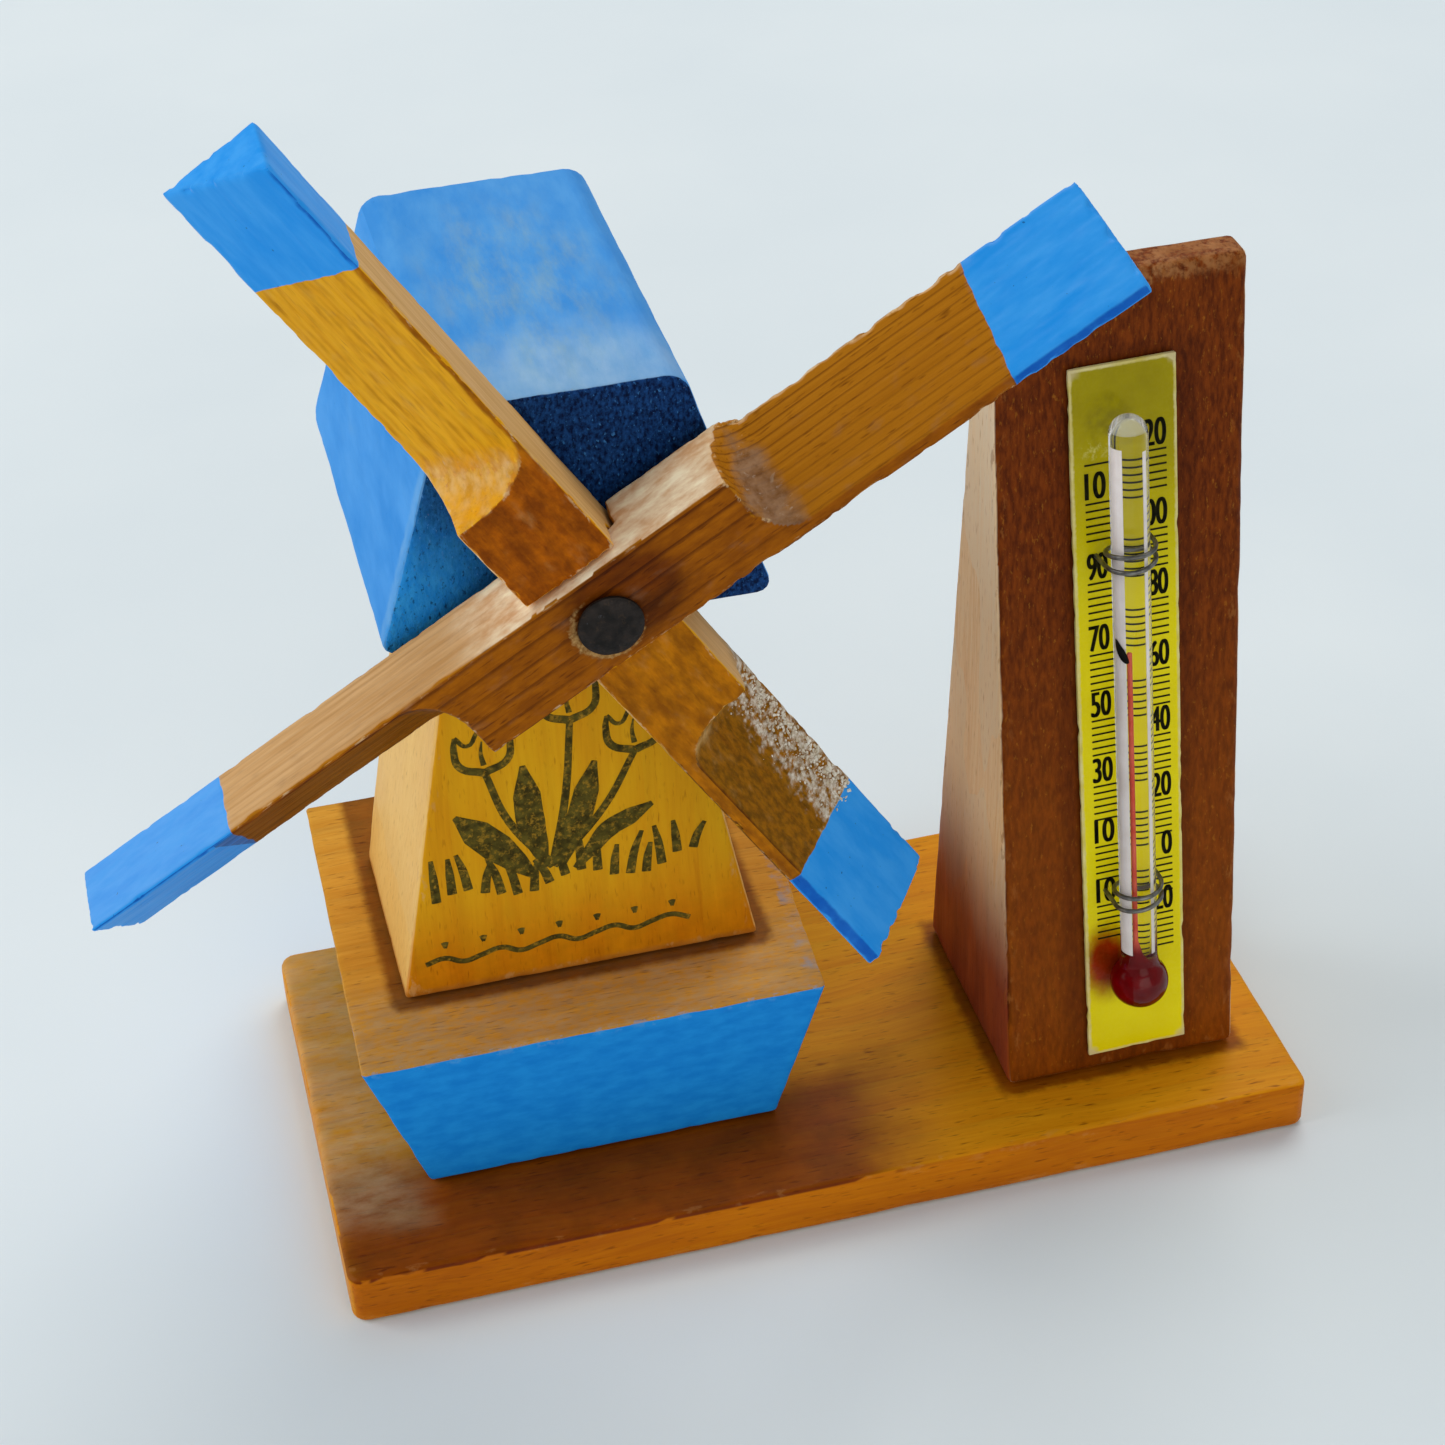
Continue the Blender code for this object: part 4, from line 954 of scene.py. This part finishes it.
def letter_mesh(body, tall, wide, left, bottom, from_right=False):
    """A numeral as a thin mesh of a set height and digit width, in mm on the plate's face."""
    text = bpy.data.curves.new("numeral", "FONT")
    text.body = body
    text.extrude = 0.01
    writing = bpy.data.objects.new("numeral", text)
    bpy.context.scene.collection.objects.link(writing)
    graph = bpy.context.evaluated_depsgraph_get()
    mesh = bpy.data.meshes.new_from_object(writing.evaluated_get(graph))
    bpy.data.objects.remove(writing, do_unlink=True)
    bm = bmesh.new()
    bm.from_mesh(mesh)
    xs = [vert.co.x for vert in bm.verts]
    ys = [vert.co.y for vert in bm.verts]
    stretch = wide * len(body) / (max(xs) - min(xs))
    rise = tall / (max(ys) - min(ys))
    for vert in bm.verts:
        across = (vert.co.x - min(xs)) * stretch
        if from_right:
            across -= wide * len(body)
        vert.co = Vector((left + across, -0.02 + (0.02 if vert.co.z < 0 else 0.0), bottom + (vert.co.y - min(ys)) * rise))
    return bm


def build_print():
    """Numerals and two-degree ticks, printed in black on the plate."""
    left_column = (("10", 74.98), ("90", 65.45), ("70", 56.75), ("50", 48.5), ("30", 40.05), ("10", 32.1), ("10", 24.1))
    right_column = (("120", 79.95), ("100", 70.65), ("80", 62.2), ("60", 53.45), ("40", 45.15), ("20", 36.65),
                    ("0", 28.85), ("20", 21.5))
    sheet = bmesh.new()

    def keep(bm):
        spare = bpy.data.meshes.new("spare")
        bm.to_mesh(spare)
        bm.free()
        sheet.from_mesh(spare)
        bpy.data.meshes.remove(spare)

    def tick(start, end, height):
        bm = bmesh.new()
        bmesh.ops.create_cube(bm, size=1)
        bmesh.ops.scale(bm, verts=bm.verts, vec=(end - start, 0.02, 0.22))
        bmesh.ops.translate(bm, verts=bm.verts, vec=((start + end) / 2, -0.01, height))
        keep(bm)

    for column, is_right in ((left_column, False), (right_column, True)):
        for body, bottom in column:
            for spread in (-0.1, 0.0, 0.1):         # inked heavily
                keep(letter_mesh(body, 3.15, 1.1, (4.65 if is_right else -4.45) + spread, bottom - PLATE_MIDDLE, is_right))
            for step in range(6):
                height = bottom - PLATE_MIDDLE - 0.5 - 0.87 * step
                if is_right:
                    tick(-0.1, 4.75, height)
                else:
                    tick(-4.5, -0.6, height)
    tick(-4.5, -0.2, left_column[0][1] - PLATE_MIDDLE + 4.05)
    place = plate_frame() @ Matrix.Translation((0, -0.02 * MM, 0)) @ Matrix.Scale(MM, 4)
    bmesh.ops.transform(sheet, matrix=place, verts=sheet.verts)
    bmesh.ops.recalc_face_normals(sheet, faces=sheet.faces)
    # letterpress black, a little thin and uneven, so yellow shows through it
    ink = dict(shades=("#15140a", "#2c290c"), mottle=0.8, grit=0.2, rough=(0.3, 0.45))
    settle("scale_numerals", sheet, finish("black printing ink", ink, relief=0.01), "stand")


def build_thermometer():
    neck = math.acos(TUBE_RADIUS / BULB_RADIUS)
    stem_end = TUBE_LENGTH - TUBE_RADIUS
    outside = arc(BULB_RADIUS, -math.pi / 2, neck - 0.12, 20)
    outside += [(TUBE_RADIUS + 0.12, BULB_RADIUS * math.sin(neck) + 0.35), (TUBE_RADIUS, BULB_RADIUS * math.sin(neck) + 1.2)]
    for step in range(1, 24):
        outside.append((TUBE_RADIUS, 3.6 + (stem_end - 3.6) * step / 24))
    outside += arc(TUBE_RADIUS, 0, math.pi / 2, 12, stem_end)
    outside[-1] = (0, outside[-1][1])
    outside[0] = (0, outside[0][1])
    # clear soda-lime glass, drawn: smooth and bright, bends what is behind it
    glass = bpy.data.materials.new("clear drawn glass")
    glass.use_nodes = True
    tree = glass.node_tree
    shader = tree.nodes["Principled BSDF"]
    ripple = add(tree, "TexNoise", {"Vector": add(tree, "TexCoord").outputs["Object"], "Scale": 300.0, "Detail": 2.0})
    bump = add(tree, "Bump", {"Height": ripple.outputs["Fac"], "Distance": 0.02 * MM, "Strength": 0.3})
    tree.links.new(bump.outputs[0], shader.inputs["Normal"])
    for setting, value in {"Base Color": (1, 1, 1, 1), "Roughness": 0.03, "IOR": 1.47, "Transmission Weight": 1.0,
                           "Specular IOR Level": 0.06, "Specular Tint": (0.4, 0.4, 0.4, 1)}.items():
        shader.inputs[setting].default_value = value
    stem = settle("glass_tube_drawn", turned(outside, 48, tube_frame()), glass, "stand", ["glass_tube"],
                  smooth=60)
    stem.visible_shadow = False         # clear glass lets the light through to the plate

    fill = BULB_RADIUS - 0.12
    shoulder = math.acos(0.9 / fill)
    thread = arc(fill, -math.pi / 2, shoulder, 18) + [(0.5, BULB_RADIUS + 0.8), (0.19, BULB_RADIUS + 2.6)]
    for step in range(1, 16):
        thread.append((0.19, BULB_RADIUS + 2.6 + (READING - BULB_RADIUS - 2.6) * step / 15))
    thread += [(0.12, READING + 0.12), (0, READING + 0.16)]
    thread[0] = (0, thread[0][1])
    red = dict(shades=("#5e0002", "#7c0004"), mottle=2.0, grit=0.5, rough=(0.12, 0.2))
    # dyed alcohol: deep clear red in the bulb, a bright thread in the bore
    spirit = finish("red dyed spirit", red, [
        dict(field="thread", shades=("#d84c38", "#e46a54"), soft=1.0, ragged=0.0)], relief=0.005)
    column = turned(thread, 32)
    keep_fields(column, {"thread": lambda p, n: p.z * MM - 5.0})
    bmesh.ops.transform(column, matrix=tube_frame() @ Matrix.Translation((-0.25 * MM, 0, 0)) @ Matrix.Scale(MM, 4),
                        verts=column.verts)
    settle("spirit_column_thin", column, spirit, "stand", ["spirit_column"], smooth=60)

    # a wide white opal glass strip drawn into the stem on its left, and a thin white strip on its right that is a
    # painted highlight
    opal = dict(shades=("#efe8e6", "#fffafa"), mottle=4.0, grit=0.6, rough=(0.3, 0.4))
    white = finish("white opal glass and painted highlight", opal, relief=0.01)
    radius = TUBE_RADIUS - 0.16
    for name, begin, sweep, low, high in (("opal_strip_left", 172, 56, 4.4, 67.4), ("painted_highlight_strip_right", 296, 15, 4.4, 67.0)):
        strip = bmesh.new()
        angle = math.radians(begin)
        start = strip.verts.new((radius * math.cos(angle), radius * math.sin(angle), low))
        bmesh.ops.spin(strip, geom=[start], cent=(0, 0, 0), axis=(0, 0, 1), angle=math.radians(sweep), steps=10)
        for step in range(12):
            line = [edge for edge in strip.edges if all(abs(vert.co.z - (low + (high - low) * step / 12)) < 0.01
                                                       for vert in edge.verts)]
            rise = bmesh.ops.extrude_edge_only(strip, edges=line)
            tall = [part for part in rise["geom"] if isinstance(part, bmesh.types.BMVert)]
            bmesh.ops.translate(strip, verts=tall, vec=(0, 0, (high - low) / 12))
        bmesh.ops.recalc_face_normals(strip, faces=strip.faces)
        bmesh.ops.solidify(strip, geom=strip.faces[:], thickness=0.1)
        bmesh.ops.recalc_face_normals(strip, faces=strip.faces)
        bmesh.ops.transform(strip, matrix=tube_frame() @ Matrix.Scale(MM, 4), verts=strip.verts)
        settle(name, strip, white, "stand", smooth=60)

    # the closed end is drawn down milky
    radius -= 0.06
    dome = [(0, stem_end + 0.2)] + arc(radius, math.radians(14), math.pi / 2, 10, stem_end - 0.1)
    dome[-1] = (0, dome[-1][1])
    milky = finish("milky fused glass", dict(opal, shades=("#e4e8e4", "#f4f6f2")), relief=0.01, alpha=0.2)
    settle("fused_end", turned(dome, 40, tube_frame()), milky, "stand", smooth=60)

    # a pen mark at the reading, on the left of the stem
    mark = bmesh.new()
    bmesh.ops.create_uvsphere(mark, u_segments=20, v_segments=12, radius=1.0)
    for vert in mark.verts:
        fat = 0.62 - 0.12 * vert.co.z + 0.1 * noise.noise(vert.co * 2.0)
        vert.co = Vector((vert.co.x * fat - 0.7 * vert.co.z, vert.co.y * 0.05, vert.co.z * 1.35))
    for vert in mark.verts:
        turn = math.radians(212) + vert.co.x / TUBE_RADIUS
        reach = TUBE_RADIUS + 0.02 - vert.co.y
        vert.co = Vector((reach * math.cos(turn), reach * math.sin(turn), READING + vert.co.z + 0.7))
    bmesh.ops.recalc_face_normals(mark, faces=mark.faces)
    bmesh.ops.transform(mark, matrix=tube_frame() @ Matrix.Scale(MM, 4), verts=mark.verts)
    pen = dict(shades=("#0d0d0d", "#1c1b18"), mottle=0.6, grit=0.2, rough=(0.3, 0.45))
    settle("pen_mark", mark, finish("black pen ink", pen, relief=0.01), "stand", smooth=60)


def build_clips():
    """Spring wire, one and a half turns round the tube with its legs pushed into the post."""
    wire = dict(shades=("#5c5a56", "#8d8b86"), mottle=1.0, grit=0.2, rough=(0.28, 0.42))
    # drawn steel wire, dulled by handling
    material = finish("dull drawn steel wire", wire, relief=0.01, metallic=0.85)
    wrap = TUBE_RADIUS + 0.3 + WIRE_RADIUS
    depth = TUBE_OFF_FACE + 3.0
    for name, height in CLIP_HEIGHTS.items():
        path = [Vector((-wrap, depth, height)), Vector((-wrap, depth / 2, height)), Vector((-wrap, 0.6, height))]
        for step in range(49):
            turn = math.pi + 3 * math.pi * step / 48
            sag = 0.12 * math.sin(turn * 1.7 + height)
            path.append(Vector((wrap * math.cos(turn), wrap * math.sin(turn), height + 2.4 * step / 48 + sag)))
        path += [path[-1] + Vector((0.05, depth / 2, 0)), path[-1] + Vector((0, depth, 0))]
        curve = bpy.data.curves.new(name, "CURVE")
        curve.dimensions = "3D"
        curve.bevel_depth = WIRE_RADIUS
        curve.bevel_resolution = 3
        curve.use_fill_caps = True
        spline = curve.splines.new("POLY")
        spline.points.add(len(path) - 1)
        for point, spot in zip(spline.points, path):
            point.co = (*spot, 1)
        bent = bpy.data.objects.new("bent", curve)
        bpy.context.scene.collection.objects.link(bent)
        graph = bpy.context.evaluated_depsgraph_get()
        mesh = bpy.data.meshes.new_from_object(bent.evaluated_get(graph))
        bpy.data.objects.remove(bent, do_unlink=True)
        mesh.transform(tube_frame() @ Matrix.Scale(MM, 4))
        place_mesh(f"{name}_wire", mesh, material, "stand", [name], smooth=60)


# ---------------------------------------------------------------- the printed flowers

def strokes_mesh(strokes, thickness):
    """Brush strokes (points, widths) in mm on a flat sheet, as thin rounded ribbons."""
    curve = bpy.data.curves.new("strokes", "CURVE")
    curve.dimensions = "3D"
    curve.bevel_depth = 0.5
    curve.bevel_resolution = 2
    curve.use_fill_caps = True
    curve.resolution_u = 6
    for points, widths in strokes:
        spline = curve.splines.new("BEZIER")
        spline.bezier_points.add(len(points) - 1)
        for knot, point, width in zip(spline.bezier_points, points, widths):
            knot.co = (point[0], point[1], 0)
            knot.radius = width
            knot.handle_left_type = knot.handle_right_type = "AUTO"
    drawn = bpy.data.objects.new("strokes", curve)
    bpy.context.scene.collection.objects.link(drawn)
    graph = bpy.context.evaluated_depsgraph_get()
    mesh = bpy.data.meshes.new_from_object(drawn.evaluated_get(graph))
    bpy.data.objects.remove(drawn, do_unlink=True)
    for vert in mesh.vertices:
        vert.co.z *= thickness
    return mesh


def build_flowers():
    """A simple clump of cup flowers, leaves and grass, stamped on the tower's front."""
    chance = random.Random(11)
    strokes = []

    def stroke(points, *widths):
        widths = widths if len(widths) == len(points) else [widths[0]] * len(points)
        strokes.append((points, [1.3 * width for width in widths]))

    root = (-2.5, 15.5)
    for head, bend in (((-9.2, 30.0), -2.0), ((0.6, 35.0), 0.8), ((7.6, 29.5), 2.0)):
        middle = ((root[0] + head[0]) / 2 + bend * 0.6, (root[1] + head[1]) / 2)
        stroke([root, middle, head], 0.85, 0.7, 0.6)
        x, y = head
        stroke([(x - 0.1, y), (x - 2.6, y + 1.2), (x - 3.1, y + 3.6), (x - 2.9, y + 5.2)], 0.8, 0.7, 0.6, 0.4)
        stroke([(x + 0.1, y), (x + 2.6, y + 1.2), (x + 3.1, y + 3.6), (x + 2.9, y + 5.2)], 0.8, 0.7, 0.6, 0.4)
        stroke([(x - 2.9, y + 5.2), (x - 1.6, y + 3.9), (x, y + 5.6), (x + 1.6, y + 3.9), (x + 2.9, y + 5.2)], 0.4)
        stroke([(x, y + 1.0), (x - 0.2, y + 2.6), (x, y + 4.2)], 0.5, 0.35, 0.15)
    leaves = (((-4.6, 14.4), (-8.6, 19.4), (-13.0, 24.6), 2.9), ((-3.4, 15.5), (-4.6, 22.0), (-5.0, 30.0), 2.5),
              ((-1.4, 15.5), (0.8, 21.5), (3.0, 29.0), 2.3), ((0.0, 14.6), (4.0, 19.2), (9.2, 21.8), 1.9))
    for start, middle, tip, width in leaves:
        near = [(start[side] + middle[side]) / 2 for side in (0, 1)]
        far = [(middle[side] + tip[side]) / 2 for side in (0, 1)]
        stroke([start, near, middle, far, tip], 0.6, width * 0.72, width, width * 0.95, 0.5)
    for step in range(17):
        x = -16.0 + 1.85 * step
        lean = chance.uniform(-1.6, 1.6)
        y = 13.2 + 1.1 * math.sin(step * 0.9) + chance.uniform(-0.3, 0.3)
        tall = chance.uniform(3.4, 6.2)
        stroke([(x, y), (x + lean * 0.4, y + tall * 0.55), (x + lean, y + tall)], 0.85, 0.75, 0.4)
    # a wavy ground line with dots above it
    stroke([(-18.0 + 2.2 * step, 4.6 + 0.55 * math.sin(step * 2.1) + 0.02 * step) for step in range(15)], 0.55)
    for step in range(7):
        x = -15.6 + 4.4 * step
        stroke([(x - 0.3, 6.9), (x, 7.0), (x + 0.3, 6.9)], 0.7)
    mesh = strokes_mesh(strokes, 0.13)
    low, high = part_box("tower_block")
    # X across the tower, Y up it, Z out of its face
    place = (Matrix.Translation(((low.x + high.x) / 2, low.y - 0.03 * MM, low.z))
             @ Matrix.Rotation(math.pi / 2, 4, "X") @ Matrix.Scale(MM, 4))
    mesh.transform(place)
    ink = dict(shades=("#3c3412", "#62561f"), mottle=0.9, grit=0.25, rough=(0.5, 0.65))
    bm = bmesh.new()
    bm.from_mesh(mesh)
    keep_fields(bm, {"all_over": lambda p, n: 3.0})
    # rubber-stamped ink, starved in specks where the wood shows through
    material = finish("olive black stamp ink", ink, [
        dict(field="all_over", shades=("#a07a20", "#c0922c"), cover=0.36, patch=0.55, patch_detail=4.0, haze=0.1,
             strength=0.7)], relief=0.01)
    settle("stamped_flowers", bm, material, "stand", smooth=60)


# ---------------------------------------------------------------- glue on the rear slat

def build_glue():
    """Old glue: white glittering grains along the lower arm of the rear slat."""
    chance = random.Random(5)
    angle = math.radians(122.6)
    front = SLAT_BACK - SLAT_THICKNESS * MM
    place = Matrix.Translation((HUB.x, front, HUB.z)) @ Matrix.Rotation(-angle, 4, "Y") @ Matrix.Scale(MM, 4)
    half = SLAT_WIDTH / 2
    grains = bmesh.new()
    across = Vector((0, SLAT_THICKNESS, -SLAT_WIDTH + 1.5 - 0.4))
    for count in range(460):
        along = -17.5 - 24.5 * chance.random() ** 0.9
        down = 0.08 + min(0.9, abs(chance.gauss(0, 0.14)))
        edge = Vector((along, 0, half - 1.5))
        spot = edge + across * (1 - down)
        spot.x = along
        outward = Vector((0, -across.z, across.y)).normalized()
        if outward.y > 0:
            outward = -outward
        size = chance.uniform(0.05, 0.2) * (1.2 - down)
        spin = Matrix.Rotation(chance.uniform(0, 6.28), 4, (chance.random(), chance.random(), 1))
        scale = Matrix.Diagonal((size * chance.uniform(0.8, 1.9), size * chance.uniform(0.6, 1.0), size, 1))
        bmesh.ops.create_icosphere(grains, subdivisions=1, radius=1.0,
                                   matrix=Matrix.Translation(spot + outward * size * 0.3) @ spin @ scale)
    for vert in grains.verts:
        vert.co += noise.noise_vector(vert.co / 0.4) * 0.06
    bmesh.ops.transform(grains, matrix=place, verts=grains.verts)
    bmesh.ops.recalc_face_normals(grains, faces=grains.faces)
    glue = dict(shades=("#cdbfa6", "#f2ece0"), mottle=0.8, grit=0.15, rough=(0.25, 0.5))
    # dried hide glue with dust in it: whitish, crumbly, with small glints
    settle("glue_crust", grains, finish("dried glue", glue, relief=0.02), "sails", smooth=30)


# ---------------------------------------------------------------- stage, light and camera

CAMERA_PLACE = (-66.56 * MM, -263.09 * MM, 248.44 * MM)
CAMERA_FORWARD = (0.18347, 0.78789, -0.58786)
CAMERA_ROLL = math.radians(-2.31)
CAMERA_LENS = 73.85


def build_stage():
    floor_mesh = bpy.data.meshes.new("floor")
    bm = bmesh.new()
    bmesh.ops.create_grid(bm, x_segments=8, y_segments=8, size=3.0)
    bm.to_mesh(floor_mesh)
    bm.free()
    floor = bpy.data.objects.new("floor", floor_mesh)
    floor.location = (0, 0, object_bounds()[0].z)
    bpy.context.scene.collection.objects.link(floor)
    card = dict(shades=("#dfe8ee", "#e4ecf1"), mottle=90.0, grit=0.6, rough=(0.55, 0.7))
    floor.data.materials.append(finish("pale matt card", card, relief=0.01))


def build_light():
    world = bpy.data.worlds.new("studio")
    world.use_nodes = True
    world.node_tree.nodes["Background"].inputs["Color"].default_value = linear("#e9f1f6")
    world.node_tree.nodes["Background"].inputs["Strength"].default_value = 0.40
    bpy.context.scene.world = world
    middle = Vector((-0.005, 0.0, 0.06))
    for name, spot, size, power, shade in (
            ("window_left", (-1.0, 0.2, 0.75), 0.9, 7.8, "#fdfbf6"),
            ("lamp_behind", (0.5, 0.65, 1.15), 0.8, 7.5, "#fdfbf6"),
            ("fill_front", (0.1, -1.4, 0.5), 1.2, 6.0, "#fbf6ee"),
    ):
        lamp = bpy.data.lights.new(name, "AREA")
        lamp.shape = "SQUARE"
        lamp.size = size
        lamp.energy = power
        lamp.color = linear(shade)[:3]
        light = bpy.data.objects.new(name, lamp)
        light.location = spot
        light.rotation_euler = (middle - Vector(spot)).to_track_quat("-Z", "Y").to_euler()
        bpy.context.scene.collection.objects.link(light)


def build_camera():
    camera = bpy.data.cameras.new("camera")
    camera.lens = CAMERA_LENS
    camera.sensor_width = 36.0
    camera.clip_start = 0.01
    camera.clip_end = 20.0
    viewer = bpy.data.objects.new("camera", camera)
    level = Vector(CAMERA_FORWARD).to_track_quat("-Z", "Y").to_matrix().to_4x4()
    viewer.matrix_world = Matrix.Translation(CAMERA_PLACE) @ level @ Matrix.Rotation(CAMERA_ROLL, 4, "Z")
    bpy.context.scene.collection.objects.link(viewer)
    bpy.context.scene.camera = viewer
    bpy.context.scene.view_settings.view_transform = "Standard"


def build_brads():
    """The brads keep their turned shape and get plain bright steel."""
    steel = dict(shades=("#77746e", "#9a9791"), mottle=1.0, grit=0.3, rough=(0.35, 0.5))
    # bright drawn steel, a little tarnished
    material = finish("tarnished steel brad", steel, relief=0.01, metallic=0.9)
    for name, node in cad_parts.items():
        if name.startswith("brad"):
            for slot in node.material_slots:
                slot.material = material


build_base()
build_plinth()
build_tower()
build_cap()
build_sails()
build_nail()
build_post()
build_plate()
build_print()
build_thermometer()
build_clips()
build_flowers()
build_glue()
build_brads()
build_stage()
build_light()
build_camera()
